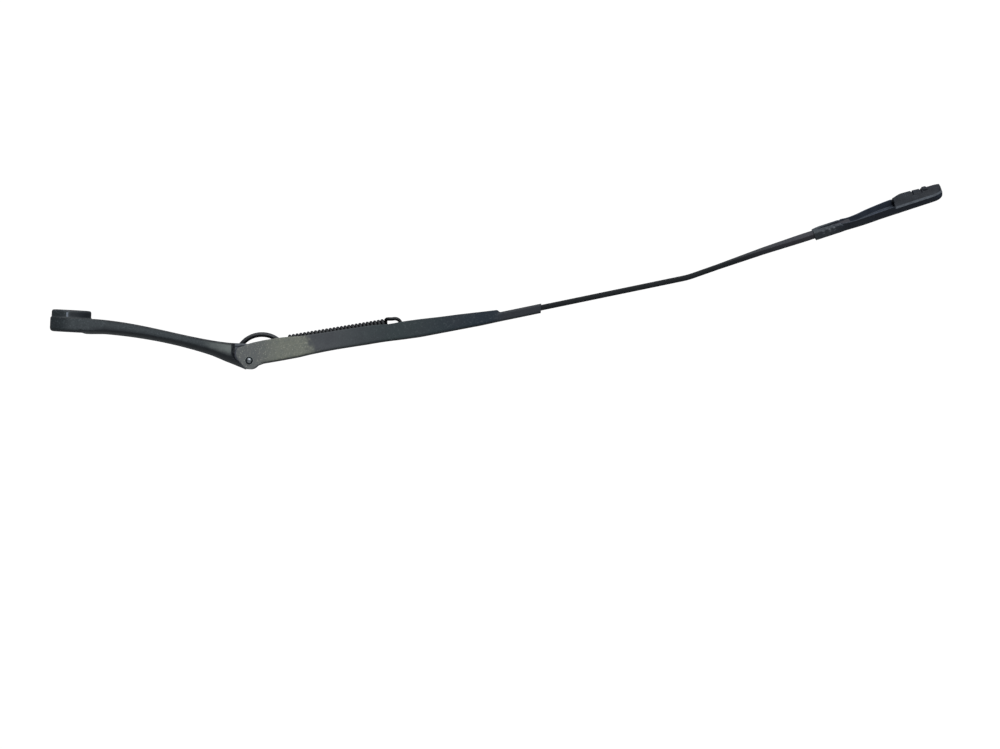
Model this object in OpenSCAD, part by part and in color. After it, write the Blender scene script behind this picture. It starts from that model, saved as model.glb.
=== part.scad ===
// Windscreen wiper arm with a cast head, a sprung folding pivot and a blade connector.
// Origin: on the spindle axis, where the taper ends and the clamping hole begins.
// X runs along the arm, Z along the spindle towards the glass side, Y across the arm.

/* [Head] */
// Diameter of the collar round the spindle on the glass side
collar_d = 28.8; // [24:0.2:34]
// Height of the collar above the lower boss
collar_h = 5.8; // [3:0.1:9]
// Diameter of the lower boss
boss_d = 30.4; // [27:0.2:36]
// Height of the boss top above the nut seat plane at the origin
boss_top = 1.7; // [0.5:0.1:4]
// Depth of the boss below the origin
boss_depth = 8.6; // [7:0.1:12]
// Radius of the rounded outer edge of the boss
boss_round = 2.5; // [0.5:0.1:4]
// Diameter of the spindle taper at the origin
taper_small_d = 10; // [9:0.1:11]
// Diameter of the spindle taper at the glass-side face
taper_large_d = 11.5; // [11:0.1:13]
// Diameter of the clamping hole under the nut
stud_hole_d = 8.4; // [8.2:0.1:9]
// Length of the clamping hole under the nut
stud_hole_h = 3.6; // [2:0.1:5]
// Diameter of the nut recess on the outer side
nut_recess_d = 19; // [15:0.5:22]
// Wall left round the hollow of the head
head_wall = 2.6; // [1.5:0.1:3.5]
// Thickness of the outer skin under the hollow
head_skin = 2.8; // [1.5:0.1:4]
// Thickness of the cross ribs in the hollow
head_rib = 2; // [1:0.1:3]

/* [Pivot] */
// Distance of the folding pivot from the spindle axis
pivot_x = 132; // [125:0.5:140]
// Height of the folding pivot
pivot_z = -22.5; // [-24:0.1:-21]
// Diameter of the rivet shank
rivet_d = 4.5; // [3:0.1:5]
// Diameter of the rivet heads
rivet_head_d = 5.6; // [5.2:0.1:9]
// Height of the rivet heads
rivet_head_h = 1.1; // [0.6:0.1:2]
// Wall of the bush in the head
bush_wall = 1.45; // [0.6:0.05:1.6]
// Radius of the head's nose round the pivot
nose_r = 6; // [5.5:0.1:6.2]
// Radial play of the turning joints
play = 0.05; // [0.02:0.01:0.1]
// Play between pieces that stay together
fit = 0.05; // [0.02:0.01:0.15]

/* [Channel] */
// Outer width of the channel at the pivot
channel_w = 22; // [19:0.5:26]
// Thickness of the channel sheet
sheet = 1.2; // [0.8:0.1:1.6]
// Thickness of the plastic liners in the pivot
liner = 0.9; // [0.5:0.1:1.2]
// Outer bend radius of the channel's long edges
bend_r = 2; // [1.3:0.1:3]
// Length of the sleeve crimped round the rod
sleeve_len = 31; // [20:1:45]
// Width of the seam between the lips of the sleeve
seam = 1.4; // [0.5:0.1:3]
// Distance from the pivot to the start of the sleeve
channel_run = 180; // [170:1:200]
// Rise of the channel's rim from the pivot to the sleeve
channel_rise = 47; // [45:0.5:50]

/* [Spring] */
// Outer diameter of the spring
spring_d = 11.4; // [10:0.2:11.6]
// Diameter of the spring wire
wire_d = 2.4; // [1.8:0.1:2.5]
// Number of whole turns in the spring body
turns = 26; // [20:1:30]
// Distance from the pivot to the rear end of the spring
spring_reach = 108.5; // [104:0.5:110]
// Rise from the pivot to the rear end of the spring
spring_rise = 32.7; // [32:0.1:33.4]
// Diameter of the pin that holds the hook
hook_pin_d = 6; // [4:0.1:6.5]
// Diameter of the hook's bar
hook_bar_d = 3.6; // [3:0.1:3.8]
// Radius of the hook's bow, to the middle of the bar
hook_bow_r = 19.2; // [18.8:0.1:19.6]

/* [Rod] */
// Width of the flat rod
rod_w = 9; // [7:0.5:10]
// Thickness of the flat rod
rod_t = 4; // [3:0.1:4.4]
// Radius of the rod's long edges
rod_edge = 0.9; // [0.4:0.1:1.2]
// Thickness of the rod where its inner end is flattened for the spring
rod_flat_t = 2.8; // [2:0.1:3.4]
// Slope of the rod where it leaves the channel
run_angle = 14.67; // [13:0.1:16]
// Distance from the start of the sleeve to the bend of the rod
bend_run = 136; // [110:1:150]
// Length of the rod from its bend to the slight second bend
middle_run = 58; // [50:1:70]
// Slope of the rod between the two bends
middle_angle = 22.4; // [20:0.1:25]
// Length of the rod from the second bend to the arm end
outer_run = 39; // [30:1:50]
// Slope of the rod's end and of the arm end
tip_angle = 21.1; // [18:0.1:25]
// Turn of the rod about its length between the bend and the tip
rod_twist = 20; // [0:1:25]
// Distance from the bend to the point where the turn begins
twist_lag = 15; // [0:1:25]

/* [Tip] */
// Length of the arm end from its crimp to its nose
tip_len = 98; // [90:1:110]
// Length of the crimped part of the arm end
tip_crimp = 20; // [15:1:30]
// Rise of the arm end's floor between its crimp and its tray
tip_step = 1.4; // [0:0.1:2]
// Length of the rod's end that shows beyond the crimp
rod_show = 5; // [2:0.5:7]
// Width of the arm end where the connector sits
tip_w = 18.4; // [18:0.2:22]
// Height of the arm end's side walls at the connector
tip_wall_h = 5.5; // [4:0.1:6]
// Length over which the arm end's nose is rounded
tip_nose = 9; // [4:0.5:12]
// Length of the blade connector
connector_len = 35; // [30:1:40]
// Width of the blade connector at its foot
connector_w = 14.4; // [12:0.2:14.6]
// Width of the blade connector along its top
connector_top_w = 7; // [6:0.5:9]
// Height of the blade connector above the floor of the arm end
connector_h = 8.7; // [7:0.1:10]
// Wall of the blade connector
connector_wall = 1.5; // [1:0.1:1.8]
// Width of the cross notches in the connector's top
notch_w = 2.2; // [1:0.1:3]

/* [Hidden] */

$fn = 64;
big = 60;
cut = 0.5;

// Colours of the pieces
black_paint = "#34363a";
grey_paint = "#8b918d";
bare_steel = "#7d7f80";
spring_black = "#1d1d1f";
plastic_grey = "#4a4d54";
liner_grey = "#8f9499";

// Pivot, hook pin and rear anchor of the spring, in the side view
pivot = [pivot_x, pivot_z];
anchor = pivot + [-9.5, 6.6];
rear = pivot + [spring_reach, spring_rise];
bow_mid = pivot + [8.6, 0.3];

// Directions of the spring and of the straight run of the rod
spring_len = norm(rear - anchor);
spring_angle = atan2(rear[1] - anchor[1], rear[0] - anchor[0]);
run_slope = tan(run_angle);

// Layers across the pivot, as distances from the middle plane
channel_half = channel_w / 2;
liner_out = channel_half - sheet - fit;
tongue_half = liner_out - liner - fit;
slot_half = hook_bar_d / 2 + 1.7;
bush_r = rivet_d / 2 + play + bush_wall;

// Cubic curve through four control values
function bez(p, t) = pow(1 - t, 3) * p[0] + 3 * pow(1 - t, 2) * t * p[1]
                   + 3 * (1 - t) * t * t * p[2] + t * t * t * p[3];
// Points on an arc, from angle a to angle b
function arc(c, r, a, b, n) = [for (i = [0:n]) let (g = a + (b - a) * i / n) c + r * [cos(g), sin(g)]];
function unit(v) = v / norm(v);

// Plate lying in the side view, centred on a distance across the arm
module plate(y, t) {
    translate([0, y, 0])
        rotate([90, 0, 0])
            linear_extrude(t, center = true)
                children();
}

// Round bar across the arm
module cross_bar(at, r, y0, y1) {
    translate([at[0], y1, at[1]])
        rotate([90, 0, 0])
            cylinder(r = r, h = y1 - y0);
}

// Solid through closed rings of points that all have the same count
module loft(rings) {
    n = len(rings[0]);
    m = len(rings);
    sides = [for (i = [0:m - 2], j = [0:n - 1])
        let (a = i * n + j, b = i * n + (j + 1) % n)
        each [[a, a + n, b + n], [a, b + n, b]]];
    first = [[for (j = [0:n - 1]) j]];
    last = [[for (j = [n - 1:-1:0]) (m - 1) * n + j]];
    polyhedron([for (r = rings) each r], concat(first, sides, last));
}

// Sheet through open outer and inner paths that all have the same count
module sheet_loft(outer, inner) {
    k = len(outer[0]);
    n = 2 * k;
    m = len(outer);
    rings = [for (i = [0:m - 1]) concat(outer[i], [for (j = [k - 1:-1:0]) inner[i][j]])];
    sides = [for (i = [0:m - 2], j = [0:n - 1])
        let (a = i * n + j, b = i * n + (j + 1) % n)
        each [[a, a + n, b + n], [a, b + n, b]]];
    first = [for (j = [0:k - 2]) [j, j + 1, n - 2 - j, n - 1 - j]];
    last = [for (f = first) [for (j = [3:-1:0]) (m - 1) * n + f[j]]];
    polyhedron([for (r = rings) each r], concat(first, sides, last));
}

// Path round a channel section, from the near rim down and up to the far rim
function u_path(half, low, high, r) = concat(
    [[-half, high]],
    arc([-half + r, low + r], r, 180, 270, 4),
    arc([half - r, low + r], r, 270, 360, 4),
    [[half, high]]);
// The same path moved to a distance along the arm
function placed(path, x) = [for (p = path) [x, p[0], p[1]]];

// Curves of the head: distance, glass-side edge, outer edge, half width and rise of the crown
head_x = [-2, pivot_x - 88, pivot_x - 44, pivot_x - 2.5];
head_top = [boss_top - 0.9, 6.3, -12, -10.3];
head_low = [-boss_depth - 0.3, -7.3, -12.9, pivot_z - nose_r - 0.2];
head_half = [boss_d / 2 - 0.6, 8.6, 6.8, channel_half + 0.3];
head_crown = [2.6, 3.4, 4.2, 7];
head_steps = 26;
crown_steps = 14;

// Ring of the head at a step along its curves, shrunk by a wall and a skin
function head_ring(t, wall, skin, rise) =
    let (w = bez(head_half, t) - wall, low = bez(head_low, t) + skin, top = bez(head_top, t) + rise,
         crown = max(bez(head_crown, t) - wall / 2, 0.6))
    concat([[bez(head_x, t), -w, top]],
        [for (i = [0:crown_steps]) let (g = i * 180 / crown_steps)
            [bez(head_x, t), -w * cos(g), low + crown * (1 - sin(g))]],
        [[bez(head_x, t), w, top]]);

// Side outline of the end of the head's full width, which the channel ear follows
module shoulder_outline(back) {
    polygon(concat(
        [[pivot_x - 11.5 - back, 0], [pivot_x - 11.5 - back, pivot_z + 3.7],
         [pivot_x - 10.4 - back, pivot_z + 0.7], [pivot_x - 7.4 - back, pivot_z - 3.1],
         [pivot_x - 3 - back, pivot_z - 8]],
        [[pivot_x + 15, pivot_z - 12], [pivot_x + 15, 0]]));
}

// Cut that takes one flank of the head down to the tongue, with a sloped shoulder
module flank_cut(side) {
    hull() {
        plate(side * (tongue_half + 0.01), 0.02) shoulder_outline(0);
        plate(side * (channel_half + 0.6), 0.02) shoulder_outline(2.8);
    }
    plate(side * (channel_half + 3), 5) shoulder_outline(2.8);
}

module tongue() {
    plate(0, 2 * tongue_half)
        polygon(concat(
            [[pivot_x - 22, pivot_z + 12.1], [pivot_x - 4, pivot_z + 12.3],
             [pivot_x - 1, pivot_z + 11.2]],
            arc(pivot, nose_r, 62, -90, 16),
            [[pivot_x - 12, pivot_z - 0.5], [pivot_x - 22, pivot_z + 3.5]]));
}

module hook_slot() {
    plate(0, 2 * slot_half)
        difference() {
            polygon([[anchor[0] - 6.2, anchor[1] - 3.5], [anchor[0] - 3, anchor[1] - 5.8],
                     [anchor[0] + 3, anchor[1] - 5.8], [pivot_x + 14, pivot_z + 1],
                     [pivot_x + 14, 0], [anchor[0] - 6.2, 0]]);
            translate(pivot)
                circle(r = nose_r);
        }
}

module head_hollow() {
    difference() {
        loft([for (i = [7:20]) head_ring(i / head_steps, head_wall, head_skin, 5)]);
        for (x = [pivot_x - 86, pivot_x - 58, pivot_x - 36])
            translate([x, -big / 2, -big / 2])
                cube([head_rib, big, big]);
    }
}

module boss() {
    br = boss_d / 2;
    cr = collar_d / 2;
    top = boss_top + collar_h;
    rotate_extrude()
        polygon(concat(
            [[0, -boss_depth]],
            arc([br - boss_round, -boss_depth + boss_round], boss_round, 270, 360, 6),
            [[br, boss_top], [cr, boss_top], [cr, top - 0.8], [cr - 0.8, top], [0, top]]));
}

module mounting_head() {
    top = boss_top + collar_h;
    color(black_paint)
        difference() {
            union() {
                boss();
                difference() {
                    loft([for (i = [0:head_steps]) head_ring(i / head_steps, 0, 0, 0)]);
                    head_hollow();
                    flank_cut(1);
                    flank_cut(-1);
                }
                tongue();
            }
            hook_slot();
            translate([0, 0, -stud_hole_h])
                cylinder(d = stud_hole_d, h = stud_hole_h);
            cylinder(d1 = taper_small_d, d2 = taper_large_d, h = top);
            translate([0, 0, top])
                cylinder(d = taper_large_d, h = cut);
            translate([0, 0, -big])
                cylinder(d = nut_recess_d, h = big - stud_hole_h);
            cross_bar(pivot, bush_r + fit, -big / 2, big / 2);
            cross_bar(anchor, hook_pin_d / 2 + fit, -big / 2, big / 2);
        }
}

module pivot_bush() {
    color(bare_steel)
        difference() {
            cross_bar(pivot, bush_r, -tongue_half, tongue_half);
            cross_bar(pivot, rivet_d / 2 + play, -big / 2, big / 2);
        }
}

module hook_pin() {
    color(black_paint)
        cross_bar(anchor, hook_pin_d / 2, -tongue_half, tongue_half);
}

// Half profile of the rivet: shank and two low domes with a turned ring
module pivot_rivet() {
    hr = rivet_head_d / 2;
    seat = channel_half + fit / 2;
    head = [[hr, seat], [hr, seat + rivet_head_h * 0.35], [hr * 0.86, seat + rivet_head_h * 0.5],
            [hr * 0.72, seat + rivet_head_h * 0.42], [hr * 0.6, seat + rivet_head_h * 0.7],
            [hr * 0.35, seat + rivet_head_h * 0.95], [0, seat + rivet_head_h]];
    color(bare_steel)
        translate([pivot[0], 0, pivot[1]])
            rotate([90, 0, 0])
                rotate_extrude()
                    polygon(concat(
                        [for (i = [len(head) - 1:-1:0]) [head[i][0], -head[i][1]]],
                        [[rivet_d / 2, -seat], [rivet_d / 2, seat]],
                        head));
}

// Outline of the channel's ear, grown to the pivot side for the liner behind it
function ear_outline(grow) = concat(
    [[pivot_x - 8.7 - grow, pivot_z + 8.8], [pivot_x - 4.3, pivot_z + 10.4],
     [pivot_x - 1.9, pivot_z + 12.1], [pivot_x + 9, pivot_z + 15.2],
     [pivot_x + 9, pivot_z - 1.9], [pivot_x + 6, pivot_z - 3.2]],
    arc(pivot, 6.4, -38, -132, 10),
    [[pivot_x - 8.9 - grow, pivot_z + 1.1], [pivot_x - 9.8 - grow, pivot_z + 3.3],
     [pivot_x - 9.9 - grow, pivot_z + 5.5]]);

module pivot_liner(side) {
    color(liner_grey)
        difference() {
            plate(side * (liner_out - liner / 2), liner)
                intersection() {
                    polygon(ear_outline(0.9));
                    translate([pivot_x - 11, pivot_z - 6.4])
                        square([17.5, 18]);
                }
            cross_bar(pivot, rivet_d / 2 + fit, -big / 2, big / 2);
        }
}

module liner_near() {
    pivot_liner(-1);
}

module liner_far() {
    pivot_liner(1);
}

// Stations of the channel: distance, outer face of the web, rim and outer half width
sleeve_x = pivot_x + channel_run;
sleeve_mid = pivot_z + channel_rise - 5.2;
function run_z(x) = sleeve_mid + (x - sleeve_x) * run_slope;
// Shape of the channel as shares: along it, web, rim, and its taper from wide to narrow
channel_shape = [
    [0.13, 0.03, 0.386, 0], [0.2, 0.092, 0.416, 0.02], [0.235, 0.124, 0.443, 0.06],
    [0.475, 0.345, 0.634, 0.41], [0.51, 0.379, 0.66, 0.47], [0.555, 0.412, 0.679, 0.53],
    [0.615, 0.462, 0.732, 0.62], [0.685, 0.507, 0.781, 0.72], [0.845, 0.654, 0.889, 0.93],
    [0.935, 0.743, 0.947, 0.99]];
narrow_half = rod_w / 2 + sheet + 0.13;
stations = concat(
    [[pivot_x + 9, pivot_z - 1.9, pivot_z + 15.2, channel_half]],
    [for (c = channel_shape)
        [pivot_x + c[0] * channel_run, pivot_z + c[1] * channel_rise, pivot_z + c[2] * channel_rise,
         channel_half + (narrow_half - channel_half) * c[3]]],
    [[sleeve_x - 2, run_z(sleeve_x - 2) - rod_t / 2 - sheet - 0.35,
      pivot_z + channel_rise * 0.984, narrow_half]]);

// Frame that lies along the straight run of the rod, starting at the sleeve
module along_run() {
    translate([sleeve_x, 0, run_z(sleeve_x)])
        rotate([0, -run_angle, 0])
            children();
}

// Lips of a crimp folded over the rod, as a section across it
module crimp_section(half, low, high, lip) {
    difference() {
        translate([low, -half])
            square([high - low, 2 * half]);
        translate([low + sheet, -half + sheet])
            square([high - low - 2 * sheet, 2 * (half - sheet)]);
        translate([0, -lip])
            square([high + cut, 2 * lip]);
    }
}

module crimp_sleeve(half, low, high, lip, length) {
    rotate([0, 90, 0])
        mirror([1, 0, 0])
            linear_extrude(length)
                crimp_section(half, low, high, lip);
}

module channel() {
    gap = 0.1;
    sleeve_drop = 0.15;
    color(grey_paint)
        difference() {
            union() {
                sheet_loft(
                    [for (s = stations) placed(u_path(s[3], s[1], s[2], bend_r), s[0])],
                    [for (s = stations)
                        placed(u_path(s[3] - sheet, s[1] + sheet * 1.03, s[2], bend_r - sheet), s[0])]);
                for (side = [-1, 1])
                    plate(side * (channel_half - sheet / 2), sheet)
                        polygon(ear_outline(0));
                along_run()
                    translate([-3, 0, -sleeve_drop])
                        crimp_sleeve(rod_w / 2 + gap + sheet, -rod_t / 2 - gap - sheet,
                                     rod_t / 2 + gap + sheet + sleeve_drop, seam / 2, sleeve_len + 3);
            }
            cross_bar(pivot, rivet_d / 2 + fit, -big / 2, big / 2);
        }
}

// Where the spring's front eye hangs in the hook, as a distance from the pin
eye_off = hook_bow_r - hook_bar_d / 2 - 1.9;
bow_from = bow_mid - anchor;
bow_along = bow_from[0] * cos(spring_angle) + bow_from[1] * sin(spring_angle);
bow_across = bow_from[0] * sin(spring_angle) - bow_from[1] * cos(spring_angle);
eye_q = bow_along + sqrt(eye_off * eye_off - bow_across * bow_across);
eye = anchor + eye_q * [cos(spring_angle), sin(spring_angle)];
bow_start = atan2(anchor[1] - bow_mid[1], anchor[0] - bow_mid[0]);
bow_end = atan2(eye[1] - bow_mid[1], eye[0] - bow_mid[0]);

module spring_hook() {
    eye_r = 1.85;
    color(black_paint)
        difference() {
            union() {
                translate([bow_mid[0], 0, bow_mid[1]])
                    rotate([90, 0, 0])
                        rotate([0, 0, bow_end - 6])
                            rotate_extrude(angle = bow_start - bow_end - 5)
                                translate([hook_bow_r, 0])
                                    circle(d = hook_bar_d);
                cross_bar(anchor, hook_pin_d / 2 + 2, -1.65, 1.65);
                cross_bar(eye, eye_r + 2, -1.65, 1.65);
            }
            cross_bar(anchor, hook_pin_d / 2 + play, -big / 2, big / 2);
            cross_bar(eye, eye_r, -big / 2, big / 2);
        }
}

// Path of the spring wire, in a frame that starts at the pin and runs along the spring
coil_r = (spring_d - wire_d) / 2;
front_mid = eye_q + coil_r;
rear_mid = spring_len - coil_r;
body_from = front_mid + coil_r + wire_d * 0.8;
body_to = rear_mid - coil_r - wire_d * 0.8;
turn_steps = 14;
lead = 50;
sweep_deg = turns * 360 + 90 - 2 * lead;
function coil(a) = [body_from + (body_to - body_from) * (a - lead) / sweep_deg,
                    coil_r * cos(a), coil_r * sin(a)];
function blend(p0, d0, p1, d1, k, n) = [for (i = [1:n - 1]) let (t = i / n)
    bez([p0, p0 + k * d0, p1 - k * d1, p1], t)];
function coil_dir(a) = unit([(body_to - body_from) / sweep_deg * 180 / PI,
                             -coil_r * sin(a), coil_r * cos(a)]);
last_a = lead + sweep_deg;
wire_path = concat(
    [for (i = [0:12]) let (g = -155 + (90 + 155) * i / 12)
        [front_mid - coil_r * cos(g), coil_r * sin(g), 0]],
    blend([front_mid, coil_r, 0], [1, 0, 0], coil(lead), coil_dir(lead), coil_r * 1.05, 6),
    [for (i = [0:round(sweep_deg / 360 * turn_steps)])
        coil(lead + sweep_deg * i / round(sweep_deg / 360 * turn_steps))],
    blend(coil(last_a), coil_dir(last_a), [rear_mid, 0, coil_r], [1, 0, 0], coil_r * 1.05, 6),
    [for (i = [0:12]) let (g = 90 - (90 + 155) * i / 12)
        [rear_mid + coil_r * cos(g), 0, coil_r * sin(g)]]);

function tangent(p, i) = unit(p[min(i + 1, len(p) - 1)] - p[max(i - 1, 0)]);
function flat_to(n, t) = unit(n - (n * t) * t);
// Rings of a round wire along a path, with a frame carried from ring to ring
function wire_rings(p, r, n) =
    let (side = [for (i = 0, s = flat_to([0, 0, 1], tangent(p, 0)); i < len(p);
                      i = i + 1, s = flat_to(s, tangent(p, min(i, len(p) - 1)))) s])
    [for (i = [0:len(p) - 1]) let (u = side[i], v = cross(tangent(p, i), u))
        [for (j = [0:n - 1]) let (g = 360 * j / n) p[i] + r * (cos(g) * u + sin(g) * v)]];

module tension_spring() {
    color(spring_black)
        translate([anchor[0], 0, anchor[1]])
            rotate([0, -spring_angle, 0])
                loft(wire_rings(wire_path, wire_d / 2, 8));
}

// Corners of the rod's middle line in the side view, each with its bend radius
spring_dir = [cos(spring_angle), sin(spring_angle)];
spring_up = [-sin(spring_angle), cos(spring_angle)];
bend_at = [sleeve_x + bend_run, run_z(sleeve_x + bend_run)];
tip_dir = [cos(tip_angle), sin(tip_angle)];
second_at = bend_at + middle_run * [cos(middle_angle), sin(middle_angle)];
tip_at = second_at + outer_run * tip_dir;
rod_drop = 0.9;
web_touch = sleeve_x - 38;
rod_corners = [
    [rear - 3.7 * spring_dir - rod_drop * spring_up, 0],
    [rear + 7 * spring_dir - (rod_drop + 1.6) * spring_up, 12],
    [[web_touch, run_z(web_touch)], 20],
    [bend_at, 60],
    [second_at, 150],
    [tip_at + (tip_crimp + rod_show) * tip_dir, 0]];

// Points round one corner: an arc that touches both sides of it
function corner_arc(a, b, c, r, n) =
    let (u = unit(a - b), v = unit(c - b), half = acos(u * v) / 2, len = r / tan(half),
         p = b + len * u, q = b + len * v, m = b + (r / sin(half)) * unit(u + v),
         g0 = atan2(p[1] - m[1], p[0] - m[0]), g1 = atan2(q[1] - m[1], q[0] - m[0]),
         d = g1 - g0 > 180 ? g1 - g0 - 360 : g1 - g0 < -180 ? g1 - g0 + 360 : g1 - g0)
    [for (i = [0:n]) let (g = g0 + d * i / n) m + r * [cos(g), sin(g)]];
function dotted(a, b, n) = [for (i = [1:n - 1]) a + (b - a) * i / n];

rod_bend_1 = corner_arc(rod_corners[0][0], rod_corners[1][0], rod_corners[2][0], rod_corners[1][1], 5);
rod_bend_2 = corner_arc(rod_corners[1][0], rod_corners[2][0], rod_corners[3][0], rod_corners[2][1], 6);
rod_bend_3 = corner_arc(rod_corners[2][0], rod_corners[3][0], rod_corners[4][0], rod_corners[3][1], 6);
rod_bend_4 = corner_arc(rod_corners[3][0], rod_corners[4][0], rod_corners[5][0], rod_corners[4][1], 2);
rod_line = concat([rod_corners[0][0]], rod_bend_1, rod_bend_2, rod_bend_3,
                  dotted(rod_bend_3[6], rod_bend_4[0], 9), rod_bend_4,
                  dotted(rod_bend_4[2], tip_at - 10 * tip_dir, 5),
                  [tip_at - 10 * tip_dir, tip_at, rod_corners[5][0]]);
twist_from = rod_bend_3[6][0] + twist_lag;
twist_to = tip_at[0] - 10 * tip_dir[0];
function twist_at(x) = rod_twist * max(0, min(1, (x - twist_from) / (twist_to - twist_from)));

// Rounded section of the rod, across and through its thickness
function rod_section(t) = concat(
    arc([rod_w / 2 - rod_edge, t / 2 - rod_edge], rod_edge, 0, 90, 3),
    arc([-rod_w / 2 + rod_edge, t / 2 - rod_edge], rod_edge, 90, 180, 3),
    arc([-rod_w / 2 + rod_edge, -t / 2 + rod_edge], rod_edge, 180, 270, 3),
    arc([rod_w / 2 - rod_edge, -t / 2 + rod_edge], rod_edge, 270, 360, 3));
// Thickness of the rod at a point of its line: flattened up to its first bend
function rod_thick(i) = rod_flat_t
    + (rod_t - rod_flat_t) * max(0, min(1, (rod_line[i][0] - rear[0] - 4) / 12));

function rod_ring(i) =
    let (p = rod_line[i], d = tangent(rod_line, i), w = twist_at(p[0]))
    [for (q = rod_section(rod_thick(i)))
        let (y = q[0] * cos(w) - q[1] * sin(w), h = q[0] * sin(w) + q[1] * cos(w))
        [p[0] - h * d[1], y, p[1] + h * d[0]]];

module rod() {
    color(black_paint)
        difference() {
            loft([for (i = [0:len(rod_line) - 1]) rod_ring(i)]);
            translate([rear[0], 0, rear[1]])
                rotate([0, -spring_angle, 0])
                    translate([-0.4, 0, -big / 2])
                        cylinder(d = wire_d + 1.3, h = big);
        }
}

// Frame of the arm end: along its length, turned with the rod
module along_tip() {
    translate([tip_at[0], 0, tip_at[1]])
        rotate([0, -tip_angle, 0])
            rotate([rod_twist, 0, 0])
                children();
}

tip_gap = 0.1;
crimp_floor = -rod_t / 2 - tip_gap - sheet;
crimp_half = rod_w / 2 + tip_gap + sheet;
crimp_rim = rod_t / 2 + tip_gap + sheet;
tip_floor = crimp_floor + tip_step;
tip_rim = tip_floor + tip_wall_h;
tip_half = tip_w / 2;
flare_half = (crimp_half + tip_half) / 2;
// Stations of the arm end: distance, half width, floor and rim
tip_stations = [
    [0, crimp_half, crimp_floor, crimp_rim],
    [tip_crimp + 1, crimp_half, crimp_floor, crimp_rim],
    [tip_crimp + 8, crimp_half + 0.3, crimp_floor, crimp_floor + tip_wall_h],
    [tip_crimp + 15, flare_half - 0.5, crimp_floor + tip_step * 0.15, crimp_floor + tip_wall_h + tip_step * 0.15],
    [tip_crimp + 22, flare_half + 0.8, crimp_floor + tip_step * 0.55, crimp_floor + tip_wall_h + tip_step * 0.55],
    [tip_crimp + 29, tip_half - 0.5, crimp_floor + tip_step * 0.88, crimp_floor + tip_wall_h + tip_step * 0.88],
    [tip_crimp + 35, tip_half, tip_floor, tip_rim],
    [tip_len - tip_nose, tip_half, tip_floor, tip_rim],
    [tip_len - tip_nose * 0.7, tip_half - tip_nose * 0.05, tip_floor, tip_rim],
    [tip_len - tip_nose * 0.4, tip_half - tip_nose * 0.2, tip_floor, tip_rim],
    [tip_len - tip_nose * 0.15, tip_half - tip_nose * 0.42, tip_floor, tip_rim],
    [tip_len, tip_half - tip_nose * 0.62, tip_floor, tip_rim]];

nose_half = tip_half - tip_nose * 0.5;
module arm_end() {
    color(black_paint)
        along_tip()
            difference() {
                union() {
                    sheet_loft(
                        [for (s = tip_stations) placed(u_path(s[1], s[2], s[3], bend_r), s[0])],
                        [for (s = tip_stations)
                            placed(u_path(s[1] - sheet, s[2] + sheet, s[3], bend_r - sheet), s[0])]);
                    crimp_sleeve(crimp_half, crimp_floor, crimp_rim, rod_w / 2 - 1.2, tip_crimp);
                    translate([tip_len - sheet, -nose_half, tip_floor])
                        cube([sheet, 2 * nose_half, tip_wall_h - 0.2]);
                }
                for (x = [0.3, 0.55, 0.8])
                    for (side = [-1, 1])
                        translate([x * tip_crimp, side * crimp_half, crimp_rim])
                            rotate([0, 90, 0])
                                cylinder(r = 0.9, h = 2.4, center = true);
                translate([tip_len - 27, -3.5, tip_floor - cut])
                    cube([12, 7, sheet + 2 * cut]);
            }
}

// Section of the connector: half widths at the foot and the top, and the two levels
function housing_ring(u, foot, crest, low, high) = [
    [u, 0, low + 0.05], [u, foot, low], [u, foot, low + 1.6], [u, foot - 1, low + 2],
    [u, crest + 0.5, high - 0.9], [u, crest - 0.5, high], [u, -crest + 0.5, high],
    [u, -crest - 0.5, high - 0.9], [u, -foot + 1, low + 2], [u, -foot, low + 1.6], [u, -foot, low]];

module blade_connector() {
    from = tip_len - connector_len - 1;
    to = tip_len - sheet - fit;
    low = tip_floor + sheet + fit;
    high = low + connector_h;
    foot = connector_w / 2;
    crest = connector_top_w / 2;
    inner_foot = foot - connector_wall;
    inner_crest = crest - connector_wall;
    inner_high = high - 0.9 - connector_wall;
    color(plastic_grey)
        along_tip()
            difference() {
                loft([
                    housing_ring(from, foot, crest, low, high - 0.9),
                    housing_ring(from + 7, foot, crest, low, high),
                    housing_ring(to - tip_nose, foot, crest, low, high - 0.8),
                    housing_ring(to - tip_nose * 0.5, foot - 1, crest - 0.1, low, high - 1.2),
                    housing_ring(to, foot - tip_nose * 0.45, crest - 0.3, low, high - 1.4)]);
                translate([from - 8, 0, 0])
                    rotate([90, 0, 90])
                        linear_extrude(to - tip_nose - from + 6)
                            polygon([[inner_foot, low - 1], [inner_foot, low + 0.4],
                                     [inner_crest + 0.5, inner_high - 0.8], [inner_crest - 0.5, inner_high],
                                     [-inner_crest + 0.5, inner_high], [-inner_crest - 0.5, inner_high - 0.8],
                                     [-inner_foot, low + 0.4], [-inner_foot, low - 1]]);
                for (x = [from + 12, from + 19])
                    translate([x, -big / 2, high - 1.3])
                        cube([notch_w, big, big]);
            }
}

mounting_head();
pivot_bush();
hook_pin();
pivot_rivet();
liner_near();
liner_far();
channel();
spring_hook();
tension_spring();
rod();
arm_end();
blade_connector();
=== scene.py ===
# %% [markdown]
# # Windscreen wiper arm
# The arm is photographed from the side, with its glass side up. The CAD model is the frame: every piece
# below is drawn in its coordinates. Its four bodies are the head, the folding arm, the hook and the spring;
# each piece but the coil spring rides on one of the first three. The numbers are millimetres, and MM turns
# them to metres.

# %% Frame
import math
import bmesh
import bpy
import numpy as np
from mathutils import Matrix, Vector


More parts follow.
